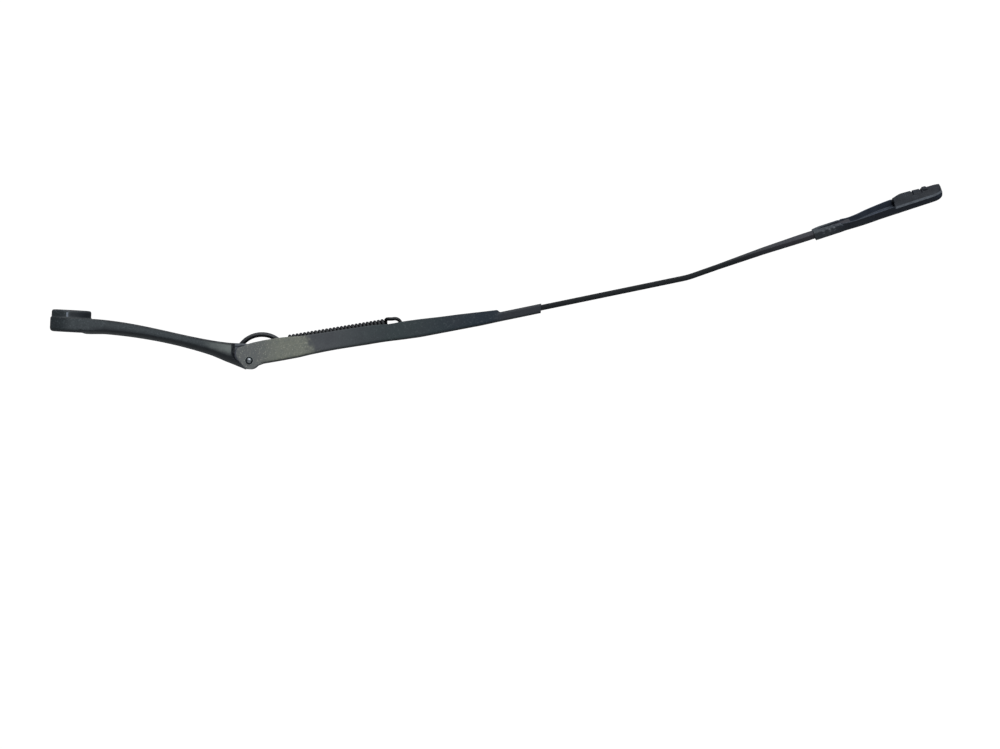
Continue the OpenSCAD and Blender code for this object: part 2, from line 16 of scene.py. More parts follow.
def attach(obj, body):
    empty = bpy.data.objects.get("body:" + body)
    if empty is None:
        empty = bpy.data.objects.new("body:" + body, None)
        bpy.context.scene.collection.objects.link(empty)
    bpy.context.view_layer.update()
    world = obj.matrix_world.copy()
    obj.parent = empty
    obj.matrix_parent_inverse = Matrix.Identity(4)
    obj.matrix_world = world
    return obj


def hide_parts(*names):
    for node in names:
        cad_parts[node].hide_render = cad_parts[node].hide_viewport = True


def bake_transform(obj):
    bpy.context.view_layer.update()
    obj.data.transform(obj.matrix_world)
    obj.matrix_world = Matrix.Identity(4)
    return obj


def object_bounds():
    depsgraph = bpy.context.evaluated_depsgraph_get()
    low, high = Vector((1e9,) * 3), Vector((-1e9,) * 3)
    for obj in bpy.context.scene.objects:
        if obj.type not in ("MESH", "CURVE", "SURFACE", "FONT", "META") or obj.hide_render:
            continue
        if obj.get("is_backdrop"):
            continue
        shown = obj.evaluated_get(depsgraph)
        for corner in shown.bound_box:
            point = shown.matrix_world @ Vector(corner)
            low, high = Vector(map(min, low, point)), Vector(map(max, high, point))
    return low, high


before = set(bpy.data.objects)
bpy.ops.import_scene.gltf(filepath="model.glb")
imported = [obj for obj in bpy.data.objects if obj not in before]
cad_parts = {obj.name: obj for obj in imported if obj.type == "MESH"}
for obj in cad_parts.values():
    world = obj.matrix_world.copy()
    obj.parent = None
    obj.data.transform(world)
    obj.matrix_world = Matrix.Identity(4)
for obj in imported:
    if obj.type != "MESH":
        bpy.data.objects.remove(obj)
CAD_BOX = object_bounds()
MM = 0.001

# %% [markdown]
# ## The numbers of the part
# These repeat the named sizes of the CAD source, because the scene reads no other file. The pivot,
# the hook's pin and the rear anchor of the spring fix everything in the side view, whose points are
# pairs of x along the arm and z towards the glass.

# %% Sizes
PIVOT = np.array([132.0, -22.5])
ANCHOR = PIVOT + (-9.5, 6.6)
REAR = PIVOT + (108.5, 32.7)
BOW_MID = PIVOT + (8.6, 0.3)
SHEET = 1.2
CHANNEL_HALF = 11.0
TONGUE_HALF = 8.8
SLOT_HALF = 3.5
PIN_R = 3.05
ROD_W, ROD_T = 9.0, 4.0
RUN = math.tan(math.radians(14.67))
SLEEVE_X, SLEEVE_MID = 312.0, 19.3
MIDDLE_ANGLE, TIP_ANGLE, TWIST = 22.4, 21.1, 20.0
BEND_X, MIDDLE_RUN, TIP_RUN = 448.0, 58.0, 39.0
TIP_LEN = 98.0
SPRING_DIR = (REAR - ANCHOR) / np.linalg.norm(REAR - ANCHOR)
SPRING_UP = np.array((-SPRING_DIR[1], SPRING_DIR[0]))
SPRING_LEN = float(np.linalg.norm(REAR - ANCHOR))


def heading(degrees):
    return np.array((math.cos(math.radians(degrees)), math.sin(math.radians(degrees))))


def run_z(x):
    return SLEEVE_MID + (x - SLEEVE_X) * RUN


BEND_AT = np.array((BEND_X, run_z(BEND_X)))
SECOND_AT = BEND_AT + MIDDLE_RUN * heading(MIDDLE_ANGLE)
TIP_DIR = heading(TIP_ANGLE)
TIP_AT = SECOND_AT + TIP_RUN * TIP_DIR
print("spring", round(SPRING_LEN, 1), "mm between its anchors, tip starts at", TIP_AT.round(1))

# %% [markdown]
# ## Tools for solids
# A cast, turned or moulded piece starts as a closed solid and is cut with others. Each then gets the
# small radius that its making leaves on its edges. The tools apply their modifiers at once, so a
# piece is a plain mesh before it rides on a body.

# %% Solids
def new_object(name, verts, faces):
    mesh = bpy.data.meshes.new(name)
    mesh.from_pydata([Vector(v) * MM for v in verts], [], faces)
    obj = bpy.data.objects.new(name, mesh)
    bpy.context.scene.collection.objects.link(obj)
    outward(obj)
    return obj


def outward(obj):
    bm = bmesh.new()
    bm.from_mesh(obj.data)
    bmesh.ops.recalc_face_normals(bm, faces=bm.faces)
    if bm.calc_volume(signed=True) < 0:
        bmesh.ops.reverse_faces(bm, faces=bm.faces)
    bm.to_mesh(obj.data)
    bm.free()


def settle(obj):
    """Applies the modifiers of a piece of the scene's own."""
    seen = obj.evaluated_get(bpy.context.evaluated_depsgraph_get())
    mesh = bpy.data.meshes.new_from_object(seen)
    obj.modifiers.clear()
    old = obj.data
    obj.data = mesh
    bpy.data.meshes.remove(old)
    mesh.name = obj.name
    return obj


def combine(obj, other, how="DIFFERENCE"):
    mod = obj.modifiers.new("cut", "BOOLEAN")
    mod.operation, mod.object, mod.solver = how, other, "EXACT"
    settle(obj)
    bpy.data.objects.remove(other)
    return obj


def edges_rounded(obj, radius, angle=32):
    mod = obj.modifiers.new("edge", "BEVEL")
    mod.width, mod.segments, mod.limit_method = radius * MM, 2, "ANGLE"
    mod.angle_limit = math.radians(angle)
    mod.use_clamp_overlap = True
    mod.harden_normals = False
    return settle(obj)


def smooth(obj, angle=40):
    obj.data.shade_smooth()
    obj.data.set_sharp_from_angle(angle=math.radians(angle))
    return obj

# %% Prisms, turned and lofted solids
def prism(name, outline, y0, y1):
    """A solid that stands on an outline in the side view and runs across the arm."""
    n = len(outline)
    verts = [(x, y, z) for y in (y0, y1) for x, z in outline]
    faces = [tuple(range(n)), tuple(range(2 * n - 1, n - 1, -1))]
    faces += [(i, n + i, n + (i + 1) % n, (i + 1) % n) for i in range(n)]
    return new_object(name, verts, faces)


def bar_across(name, at, radius, y0, y1, n=48):
    ring = [(at[0] + radius * math.cos(2 * math.pi * i / n), at[1] + radius * math.sin(2 * math.pi * i / n))
            for i in range(n)]
    return prism(name, ring, y0, y1)


def turned(name, profile, centre, axis, n=64):
    """A solid of revolution from (radius, distance along the axis) pairs, closed on the axis."""
    z = Vector(axis).normalized()
    x = z.orthogonal().normalized()
    y = z.cross(x)
    verts, rings = [], []
    for r, h in profile:
        base = Vector(centre) + h * z
        if r < 1e-6:
            rings.append([len(verts)])
            verts.append(base)
            continue
        rings.append(list(range(len(verts), len(verts) + n)))
        verts += [base + r * (math.cos(2 * math.pi * i / n) * x + math.sin(2 * math.pi * i / n) * y)
                  for i in range(n)]
    faces = []
    for a, b in zip(rings, rings[1:]):
        for i in range(n):
            quad = [a[i % len(a)], a[(i + 1) % len(a)], b[(i + 1) % len(b)], b[i % len(b)]]
            faces.append(tuple(dict.fromkeys(quad)))
    return new_object(name, verts, faces)


def lofted(name, rings):
    """A closed solid through rings of the same number of points."""
    n, m = len(rings[0]), len(rings)
    faces = [tuple(range(n)), tuple(range(m * n - 1, (m - 1) * n - 1, -1))]
    faces += [(i * n + j, (i + 1) * n + j, (i + 1) * n + (j + 1) % n, i * n + (j + 1) % n)
              for i in range(m - 1) for j in range(n)]
    return new_object(name, [v for r in rings for v in r], faces)


def arc(centre, radius, a, b, n):
    return [(centre[0] + radius * math.cos(math.radians(a + (b - a) * i / n)),
             centre[1] + radius * math.sin(math.radians(a + (b - a) * i / n))) for i in range(n + 1)]


def near_pivot(*pairs):
    return [(PIVOT[0] + x, PIVOT[1] + z) for x, z in pairs]


def bezier(p, t):
    s = 1 - t
    return s ** 3 * p[0] + 3 * s * s * t * p[1] + 3 * s * t * t * p[2] + t ** 3 * p[3]


def table(x, points, reach=3.0, column=1):
    """A smooth value along a list of stations: averaged over a few millimetres."""
    columns = list(zip(*points))
    return float(np.mean(np.interp(x + np.linspace(-reach, reach, 9), columns[0], columns[column])))

# %% [markdown]
# ## Where paint wears and where shade is painted
# Paint wears first where an edge stands out, and shade is painted where a face turns down or up. Each piece
# keeps these as values on its vertices, and its finish reads them, so that the marks follow the shape.

# %% Wear and painted shade
def mark_wear_and_shade(obj, dense=False):
    """Keeps on each vertex how far it stands out on an edge, for the paint to wear there, and how far it
    faces down or up, for painted shade.
    """
    bm = bmesh.new()
    bm.from_mesh(obj.data)
    bm.normal_update()
    for name, way in (("under", -1.0), ("over", 1.0)):
        facing = [max(0.0, way * v.normal.z) for v in bm.verts]
        obj.data.attributes.new(name, "FLOAT", "POINT").data.foreach_set("value", facing)
    wear = np.zeros(len(bm.verts))
    if dense:
        for v in bm.verts:
            near = [e.other_vert(v).co for e in v.link_edges]
            size = sum((c - v.co).length for c in near) / len(near)
            lean = (v.co - sum(near, Vector()) / len(near)).dot(v.normal) / size
            wear[v.index] = lean
        for _ in range(3):
            wear = np.array([0.4 * wear[v.index] + 0.6 * np.mean([wear[e.other_vert(v).index]
                             for e in v.link_edges]) for v in bm.verts])
        wear = np.clip((wear - 0.035) / 0.09, 0, 1)
    else:
        for e in bm.edges:
            if len(e.link_faces) == 2 and e.is_convex:
                lean = math.degrees(e.calc_face_angle(0.0))
                for v in e.verts:
                    wear[v.index] = max(wear[v.index], lean)
        wear = np.clip((wear - 26) / 16, 0, 1)
    bm.free()
    layer = obj.data.attributes.new("wear", "FLOAT", "POINT")
    layer.data.foreach_set("value", wear.astype(np.float32))
    return obj


def keep_ledge(obj, lies):
    """Marks the vertices that a test on their place across and up picks out."""
    picked = [float(lies(v.co.y / MM, v.co.z / MM)) for v in obj.data.vertices]
    obj.data.attributes.new("ledge", "FLOAT", "POINT").data.foreach_set("value", picked)

# %% [markdown]
# ## Finishes
# Black paint on this arm is thin and satin, so it shows more of the room than of its own colour. Each finish
# is built on one Principled shader, step by step: the body colour, its mottling, the painted sheen and
# shade, and the bare edges last. Every pattern's size is a real length.

# %% Colour
def linear(code):
    out = []
    for i in (1, 3, 5):
        c = int(code[i:i + 2], 16) / 255
        out.append(c / 12.92 if c <= 0.04045 else ((c + 0.055) / 1.055) ** 2.4)
    return (*out, 1.0)

# %% Finish
class Finish:
    """A material that is built step by step on one Principled shader, with places in millimetres."""

    def __init__(self, name, code, rough, metal=0.0, specular=0.5):
        self.mat = bpy.data.materials.new(name)
        self.mat.use_nodes = True
        self.tree = self.mat.node_tree
        self.shader = self.tree.nodes["Principled BSDF"]
        self.shader.inputs["Metallic"].default_value = metal
        self.shader.inputs["Specular IOR Level"].default_value = specular
        metres = self.node("ShaderNodeTexCoord").outputs["Object"]
        scaled = self.node("ShaderNodeVectorMath", metres, operation="SCALE", Scale=1 / MM)
        self.place = scaled.outputs["Vector"]
        self.colour, self.rough, self.bump = linear(code), rough, None

    def link(self, value, socket):
        if isinstance(value, bpy.types.NodeSocket):
            self.tree.links.new(value, socket)
        else:
            socket.default_value = value

    def node(self, kind, *inputs, **settings):
        """Adds a node. Inputs are given in order or by name, each a value or another node's output."""
        n = self.tree.nodes.new(kind)
        sockets = {key: value for key, value in settings.items() if not hasattr(n, key)}
        for key, value in settings.items():
            if key not in sockets:
                setattr(n, key, value)
        for socket, value in zip(n.inputs, inputs):
            self.link(value, socket)
        for key, value in sockets.items():
            self.link(value, n.inputs[key])
        return n

    def read(self, what):
        """What a point of the piece has: its X, Y or Z, or a layer that is kept on the vertices."""
        if what in "XYZ":
            return self.node("ShaderNodeSeparateXYZ", self.place).outputs[what]
        return self.node("ShaderNodeAttribute", attribute_name=what).outputs["Fac"]

    def mottle(self, size, detail=3.0, stretch=None):
        """Soft patches of about this size, drawn out where stretch is small."""
        place = self.place
        if stretch:
            place = self.node("ShaderNodeMapping", place, Scale=stretch).outputs["Vector"]
        return self.node("ShaderNodeTexNoise", Vector=place, Scale=1 / size, Detail=detail).outputs["Fac"]

    def mask(self, value, low, high, to_low=0.0, to_high=1.0):
        """A soft step from one value to another. It falls where low is above high."""
        n = self.node("ShaderNodeMapRange", value, low, high, to_low, to_high,
                      interpolation_type="SMOOTHSTEP")
        return n.outputs["Result"]

    def ragged(self, value, size, amount):
        """A value with mottling added, so that an edge drawn from it is ragged."""
        n = self.node("ShaderNodeMath", self.mottle(size), amount, value, operation="MULTIPLY_ADD")
        return n.outputs["Value"]

    def between(self, value, low, high, soft):
        """A mask that is high from one value to another and fades out beyond them."""
        up, down = self.mask(value, low - soft, low), self.mask(value, high + soft, high)
        return self.node("ShaderNodeMath", up, down, operation="MULTIPLY").outputs["Value"]

    def from_line(self, x, z):
        """Distance from a line across the arm."""
        flat = self.node("ShaderNodeCombineXYZ", X=self.read("X"), Z=self.read("Z")).outputs["Vector"]
        return self.node("ShaderNodeVectorMath", flat, (x, 0, z), operation="DISTANCE").outputs["Value"]

    def spot(self, at, radius):
        away = self.node("ShaderNodeVectorMath", self.place, at, operation="DISTANCE").outputs["Value"]
        return self.mask(away, 1.3 * radius, 0.6 * radius)

    def tint(self, mask, code, amount=1.0, *within):
        """Mixes another colour in where the mask is high, and so are any further masks."""
        for factor in (amount, *within):
            mask = self.node("ShaderNodeMath", mask, factor, operation="MULTIPLY").outputs["Value"]
        n = self.node("ShaderNodeMix", data_type="RGBA", Factor=mask, A=self.colour, B=linear(code))
        self.colour = n.outputs["Result"]
        return self

    def dull(self, mask, rough):
        n = self.node("ShaderNodeMix", data_type="FLOAT", Factor=mask, A=self.rough, B=rough)
        self.rough = n.outputs["Result"]
        return self

    def relief(self, value, height):
        below = {} if self.bump is None else {"Normal": self.bump}
        n = self.node("ShaderNodeBump", Strength=1.0, Distance=height * MM, Height=value, **below)
        self.bump = n.outputs["Normal"]
        return self

    def worn(self, size, low, high, code, amount):
        """Bare or pale specks of this size on the edges that stand out."""
        return self.tint(self.mask(self.mottle(size), low, high), code, amount, self.read("wear"))

    def done(self):
        self.link(self.colour, self.shader.inputs["Base Color"])
        self.link(self.rough, self.shader.inputs["Roughness"])
        if self.bump is not None:
            self.link(self.bump, self.shader.inputs["Normal"])
        print("finish", self.mat.name)
        return self.mat

# %% Piece
LAYERS = ("wear", "ledge", "under", "over", "depth")


def add(obj, material, slot, body, *nodes):
    """Gives a piece its finish, its body, and the CAD nodes that it stands for."""
    obj.data.materials.clear()
    obj.data.materials.append(material)
    for layer in LAYERS:
        if layer not in obj.data.attributes:
            obj.data.attributes.new(layer, "FLOAT", "POINT")
    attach(obj, body)
    if nodes:
        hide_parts(*nodes)
    print(obj.name, len(obj.data.polygons), "faces on", body)
    return obj

# %% [markdown]
# ## Paint on the casting
# Powder paint on an aluminium casting lies thick and even, with a fine grain. Here it is painted darker on
# the boss as shade, and a painted sheen makes the shoulder a lighter grey. It is drawn as a body colour, a
# grain as coarse as the render can show, and tints by place along the arm, which are mostly painted shade
# and highlights.

# %% Casting paint
def cast_paint():
    f = Finish("black powder paint on aluminium casting", "#262b2e", 0.5, specular=0.4)
    f.tint(f.mask(f.mottle(9.0), 0.42, 0.62), "#272c2f", 0.6)
    # Painted shade: the casting is lighter from just past the spindle's axis, so the boss's left side stays
    # darker.
    f.tint(f.mask(f.ragged(f.read("X"), 6.0, 6.0), -2.0, 7.0), "#373c3f", 0.85)
    f.tint(f.mask(f.mottle(1.1, 2.0), 0.53, 0.68), "#51575a", 0.5)
    f.tint(f.mask(f.mottle(1.5, 2.0), 0.53, 0.68), "#262b2f", 0.45)
    # Painted sheen: the shoulder is painted a lighter grey, with a ragged edge.
    painted_sheen_on_shoulder = f.mask(f.ragged(f.read("X"), 5.0, 10.0), 98.0, 122.0)
    f.tint(painted_sheen_on_shoulder, "#6c706d", 0.95)
    shade(f)
    painted_shade_by_ear(f)
    painted_light_on_collar(f)
    # Painted shade on faces that turn up.
    f.tint(f.mask(f.read("over"), 0.35, 0.75), "#080b0e", 0.8)
    f.dull(f.mask(f.mottle(5.0), 0.4, 0.65), 0.58)
    f.relief(f.mottle(0.6, 4.0), 0.02).relief(f.mottle(2.6), 0.03)
    return f.worn(1.6, 0.5, 0.64, "#6b7076", 0.35).done()


def shade(f):
    """Painted shade: the neck darkens down its side, under its belly and along its top edge."""
    f.tint(f.mask(f.ragged(f.read("depth"), 2.5, 0.2), 0.42, 0.8), "#0b1118", 0.9)
    top_edge = f.mask(f.read("depth"), 0.17, 0.06)
    f.tint(top_edge, "#0a0e12", 0.85, f.mask(f.read("X"), 15.0, 18.0))
    f.tint(f.mask(f.ragged(f.read("under"), 2.5, 0.12), 0.16, 0.62), "#080e15", 0.95)


def painted_shade_by_ear(f):
    """Painted shade in the groove that follows the channel's ear, a painted shadow line round the ear, and a
    painted highlight on the tongue's face beyond the groove.
    """
    leant = f.mask(f.read("Z"), -18.8, -31.8, 0.0, 10.2)
    groove = f.node("ShaderNodeMath", f.read("X"), leant, operation="SUBTRACT").outputs["Value"]
    f.tint(f.mask(groove, 120.9, 121.3), "#53565d", 0.8)
    f.tint(f.between(groove, 118.6, 120.8, 0.4), "#0a0e15", 0.95)
    f.tint(f.between(f.from_line(PIVOT[0] - 5.2, PIVOT[1] + 5.2), 4.9, 5.6, 0.2), "#0c1016", 0.8)


def painted_light_on_collar(f):
    """Painted shade on the collar's right half and under its edge, and a painted highlight, one narrow
    glint, near the middle.
    """
    right = f.mask(f.read("X"), -0.8, 2.0)
    f.tint(right, "#12171d", 0.9, f.mask(f.read("Z"), 1.6, 2.1))
    f.tint(f.between(f.read("Z"), 1.1, 1.9, 0.3), "#171b1f", 0.75)
    painted_glint = f.between(f.read("X"), -1.9, -0.9, 0.4)
    f.tint(painted_glint, "#7c828c", 0.8, f.between(f.read("Z"), 2.8, 5.4, 0.5))


CASTING = cast_paint()

# %% [markdown]
# ## The cast head
# The head is die-cast: a boss and collar for the spindle, a neck that narrows and then widens into
# the shoulder, hollow on the glass side with ribs across. It is drawn as the casting's draughted
# solids, joined and cut, then skinned again so that every edge has a casting's radius.

# %% Head's line
HEAD_X = (-2.0, 44.0, 88.0, 129.5)
HEAD_TOP = (0.8, 6.3, -12.0, -10.3)
HEAD_LOW = (-8.9, -7.3, -12.9, -28.7)
HEAD_HALF = (14.6, 8.6, 6.8, 11.3)
HEAD_CROWN = (2.6, 3.4, 4.2, 7.0)
HEAD_WALL, HEAD_SKIN = 2.6, 2.8
BELLY = 0.7
RIBS_AT, RIB = (46.0, 74.0, 96.0), 2.0
HEAD_STEPS = 90


def belly(x):
    """How much lower the neck is behind the boss and at the shoulder."""
    behind_boss = min(max((x - 8) / 3, 0), 1) * min(max((25 - x) / 10, 0), 1)
    return BELLY * (behind_boss + min(max((x - 104) / 10, 0), 1))


def head_ring(t, wall=0.0, skin=0.0, rise=0.0):
    x, w = bezier(HEAD_X, t), bezier(HEAD_HALF, t) - wall
    low, top = bezier(HEAD_LOW, t) + skin, bezier(HEAD_TOP, t) + rise
    low -= belly(x)
    crown = max(bezier(HEAD_CROWN, t) - wall / 2, 0.6)
    ring = [(x, -w, top)]
    for i in range(25):
        g = math.pi * i / 24
        ring.append((x, -w * math.cos(g), low + crown * (1 - math.sin(g))))
    return ring + [(x, w, top)]


print("neck from x", HEAD_X[0], "to", HEAD_X[3], "mm")

# %% Head's skin
def remeshed(obj, size, rounds, faces):
    """Turns joined and cut solids into one skin with the soft edges of a casting or forging."""
    mod = obj.modifiers.new("skin", "REMESH")
    mod.mode, mod.voxel_size, mod.use_smooth_shade = "VOXEL", size * MM, True
    mod = obj.modifiers.new("soft", "CORRECTIVE_SMOOTH")
    mod.factor, mod.iterations, mod.smooth_type, mod.use_only_smooth = 0.5, rounds, "LENGTH_WEIGHTED", True
    settle(obj)
    if len(obj.data.polygons) * 2 > faces:
        mod = obj.modifiers.new("fewer", "DECIMATE")
        mod.ratio = faces / (len(obj.data.polygons) * 2)
        settle(obj)
    obj.data.shade_smooth()
    return obj


DEPTH_AT_BOSS, SHADE_FROM, SHADE_LEN = 0.3, 6, 22


def mark_depth(obj):
    """Keeps on each vertex of the neck how far down its side it lies, from 0 at the rim to 1, for the
    painted shade.
    """
    ts = np.linspace(0, 1, 60)
    x, top, low = (np.array([bezier(p, t) for t in ts]) for p in (HEAD_X, HEAD_TOP, HEAD_LOW))
    depth = []
    for v in obj.data.vertices:
        at, z = v.co.x / MM, v.co.z / MM
        share = (np.interp(at, x, top) - z) / (np.interp(at, x, top) - np.interp(at, x, low))
        shown = np.clip((at - SHADE_FROM) / SHADE_LEN, 0, 1)
        depth.append(DEPTH_AT_BOSS + (np.clip(share, 0, 1) - DEPTH_AT_BOSS) * shown)
    obj.data.attributes.new("depth", "FLOAT", "POINT").data.foreach_set("value", depth)
    return obj

# %% Boss
BOSS_R, BOSS_ROUND, BOSS_FOOT, BOSS_TOP = 15.2, 2.5, -8.6, 1.7
COLLAR_R, COLLAR_TOP = 14.4, 7.5
NUT_R, NUT_SEAT, STUD_R = 9.5, -3.6, 4.2
TAPER_R, TAPER_WIDE_R = 5.0, 5.75


def make_boss():
    flat = BOSS_R - BOSS_ROUND
    line = [(0, BOSS_FOOT), (flat, BOSS_FOOT)]
    line += [(flat + BOSS_ROUND * math.sin(g), BOSS_FOOT + BOSS_ROUND * (1 - math.cos(g)))
             for g in (0.4, 0.8, 1.2, math.pi / 2)]
    line += [(BOSS_R, BOSS_TOP), (COLLAR_R, BOSS_TOP + 0.2), (COLLAR_R, COLLAR_TOP - 1.4),
             (COLLAR_R - 0.25, COLLAR_TOP - 0.65), (COLLAR_R - 0.9, COLLAR_TOP - 0.15),
             (COLLAR_R - 1.7, COLLAR_TOP), (0, COLLAR_TOP)]
    return turned("boss", line, (0, 0, 0), (0, 0, 1), 96)


def make_spindle_hole():
    line = [(0, -12), (NUT_R, -12), (NUT_R, NUT_SEAT), (STUD_R, NUT_SEAT), (STUD_R, 0), (TAPER_R, 0),
            (TAPER_WIDE_R, COLLAR_TOP), (TAPER_WIDE_R, COLLAR_TOP + 1.5), (0, COLLAR_TOP + 1.5)]
    return turned("spindle", line, (0, 0, 0), (0, 0, 1), 72)

# %% Head
NOSE_R, BUSH_R = 6.0, 3.8


def make_flank(side):
    """The solid that cuts one side of the shoulder away, to a face that slants where the ear ends."""
    back = near_pivot((-11.5, 22.5), (-11.5, 3.7), (-10.4, 0.7), (-7.4, -3.1), (-3, -8), (15, -12),
                      (15, 22.5))
    inner, outer = side * TONGUE_HALF, side * (CHANNEL_HALF + 0.7)
    ring = [(x, inner, z) for x, z in back]
    far = [(x - 2.8 if i < 5 else x, outer, z) for i, (x, z) in enumerate(back)]
    last = [(x, side * 14.0, z) for x, _, z in far]
    return lofted("flank", [ring, far, last])


def make_head():
    neck = lofted("head_casting", [head_ring(i / HEAD_STEPS) for i in range(HEAD_STEPS + 1)])
    hollow = lofted("hollow", [head_ring(i / HEAD_STEPS, HEAD_WALL, HEAD_SKIN, 5.0) for i in range(24, 70)])
    for x in RIBS_AT:
        combine(hollow, prism("rib", [(x, -40), (x + RIB, -40), (x + RIB, 20), (x, 20)], -20, 20))
    combine(neck, hollow)
    for side in (-1, 1):
        combine(neck, make_flank(side))
    tongue = near_pivot((-22, 12.1), (-4, 12.3), (-1, 11.2)) + arc(PIVOT, NOSE_R, 62, -90, 24)
    tongue += near_pivot((-12, -0.5), (-22, 3.5))
    combine(neck, prism("tongue", tongue, -TONGUE_HALF, TONGUE_HALF), "UNION")
    combine(neck, make_boss(), "UNION")
    slot = near_pivot((-15.7, 3.1), (-12.5, 0.8), (-6.5, 0.8), (14, 1), (14, 22.5), (-15.7, 22.5))
    slot = prism("slot", slot, -SLOT_HALF, SLOT_HALF)
    combine(slot, bar_across("nose", PIVOT, NOSE_R, -10, 10))
    combine(neck, slot)
    combine(neck, make_spindle_hole())
    combine(neck, bar_across("bush_seat", PIVOT, BUSH_R, -15, 15))
    combine(neck, bar_across("pin_seat", ANCHOR, PIN_R, -15, 15))
    remeshed(neck, 0.42, 4, 90000)
    mark_depth(neck)
    return mark_wear_and_shade(neck, dense=True)


add(make_head(), CASTING, "cast_paint", "head", "mounting_head")

# %% [markdown]
# ## Paint on the pressing
# The channel is pressed from sheet and has a thinner, satin paint. A pale painted sheen with grains in it
# lies on it from the pivot to the first coils and ends in a ragged slanted edge. The grains are about a
# millimetre, which is coarser than they really are, because finer ones wouldn't show.

# %% Pressing paint
def channel_paint():
    f = Finish("thin satin paint on pressed steel", "#13202c", 0.52, specular=0.34)
    # Painted sheen: the paint is lighter towards the pivot, in two steps.
    f.tint(f.mask(f.read("X"), 305, 235), "#2d3638", 1.0)
    f.tint(f.mask(f.read("X"), 240, 176), "#4a4b4e", 1.0)
    f.tint(f.mask(f.mottle(14.0), 0.42, 0.66), "#303036", 0.3)
    f.tint(f.mask(f.mottle(1.4, 2.0), 0.54, 0.7), "#4b5153", 0.4)
    painted_sheen(f)
    sleeve = f.mask(f.read("X"), 309, 316)
    f.tint(sleeve, "#26262b", 0.8)
    # Painted highlight: a pale ring round the rivet.
    painted_halo_round_rivet = f.between(f.from_line(*PIVOT), 2.7, 3.0, 0.3)
    f.tint(painted_halo_round_rivet, "#979b99", 0.6)
    # Painted shade on faces that turn up and on faces that turn down.
    f.tint(f.mask(f.read("over"), 0.35, 0.75), "#0b0f12", 0.8)
    f.tint(f.mask(f.read("under"), 0.25, 0.8), "#0a1016", 0.85)
    f.dull(f.mask(f.mottle(3.0), 0.4, 0.68), 0.62)
    f.relief(f.mottle(0.7, 4.0), 0.012).relief(f.mottle(6.0, 2.0), 0.03)
    return f.worn(1.3, 0.45, 0.6, "#7d8386", 0.35).done()


def painted_sheen(f):
    """A painted sheen, with pale grains in it, a slanted ragged edge, and greyer towards the pivot."""
    leant = f.node("ShaderNodeMath", f.read("Z"), 0.66, f.read("X"), operation="MULTIPLY_ADD")
    slant = leant.outputs["Value"]
    sheen_patch = f.mask(f.ragged(slant, 4.0, 16.0), 183, 173)
    f.tint(sheen_patch, "#74756a", 0.95)
    f.tint(f.mask(f.read("X"), 156, 134), "#5a5b5d", 0.8, sheen_patch)
    f.tint(f.mask(f.mottle(1.1, 2.0), 0.56, 0.68), "#a6a396", 0.5, sheen_patch)
    f.tint(f.mask(f.mottle(2.4, 2.0), 0.52, 0.68), "#575d5b", 0.35, sheen_patch)


PRESSING = channel_paint()

# %% [markdown]
# ## The channel
# The channel is pressed from 1.2 mm sheet. Sheet metal is drawn as it is made: one face of the sheet
# is a grid of points, and the other face lies one thickness away from it. The blank is cut so that
# the ears have the rounded outline that the photograph shows. The rims run from the ears to a small
# step, where the sheet is folded over the rod until its lips nearly meet.

# %% Sheet metal
def sheet_metal(name, paths, thick):
    """Sheet of even thickness: paths are its outer face, one open line of points for each station."""
    m, k = len(paths), len(paths[0])
    outer = np.array(paths, float)
    across = np.gradient(outer, axis=1)
    normal = np.stack([0 * across[..., 0], -across[..., 2], across[..., 1]], axis=2)
    normal /= np.linalg.norm(normal, axis=2, keepdims=True)
    inner = outer + normal * thick
    verts = [tuple(v) for v in outer.reshape(-1, 3)] + [tuple(v) for v in inner.reshape(-1, 3)]
    o = m * k
    faces = []
    for i in range(m - 1):
        for j in range(k - 1):
            a, b, c, d = i * k + j, i * k + j + 1, (i + 1) * k + j + 1, (i + 1) * k + j
            faces += [(a, b, c, d), (o + d, o + c, o + b, o + a)]
        for j in (0, k - 1):
            a, d = i * k + j, (i + 1) * k + j
            faces.append((a, d, o + d, o + a) if j == 0 else (d, a, o + a, o + d))
    for i in (0, m - 1):
        for j in range(k - 1):
            a, b = i * k + j, i * k + j + 1
            faces.append((b, a, o + a, o + b) if i == 0 else (a, b, o + b, o + a))
    return new_object(name, verts, faces)


def folded_path(x, half, low, rim, lip, closed, high):
    """Outer line of a folded section, from lip to lip. closed goes from 0, open, to 1, folded."""
    bend = 2.0 - 0.6 * closed
    top = low + high if closed > 0 else rim
    flank = [(-half, z) for z in np.linspace(rim, low + bend, 16)]
    fold = [(y, top) for y in np.linspace(-lip, -half + bend, 5)]
    fold += [(-half + bend - bend * math.sin(g), top - bend + bend * math.cos(g))
             for g in np.linspace(0.3, math.pi / 2, 5)]
    fold += [(-half, z) for z in np.linspace(top - bend, low + bend, 7)[1:]]
    side = [(1 - closed) * np.array(a) + closed * np.array(b) for a, b in zip(flank, fold)]
    side += [np.array((-half + bend - bend * math.cos(g), low + bend - bend * math.sin(g)))
             for g in np.linspace(0.2, math.pi / 2, 6)]
    side += [np.array((y, low)) for y in np.linspace(-half + bend, 0, 6)[1:]]
    whole = side + [np.array((-p[0], p[1])) for p in side[-2::-1]]
    return [(x, p[0], p[1]) for p in whole]

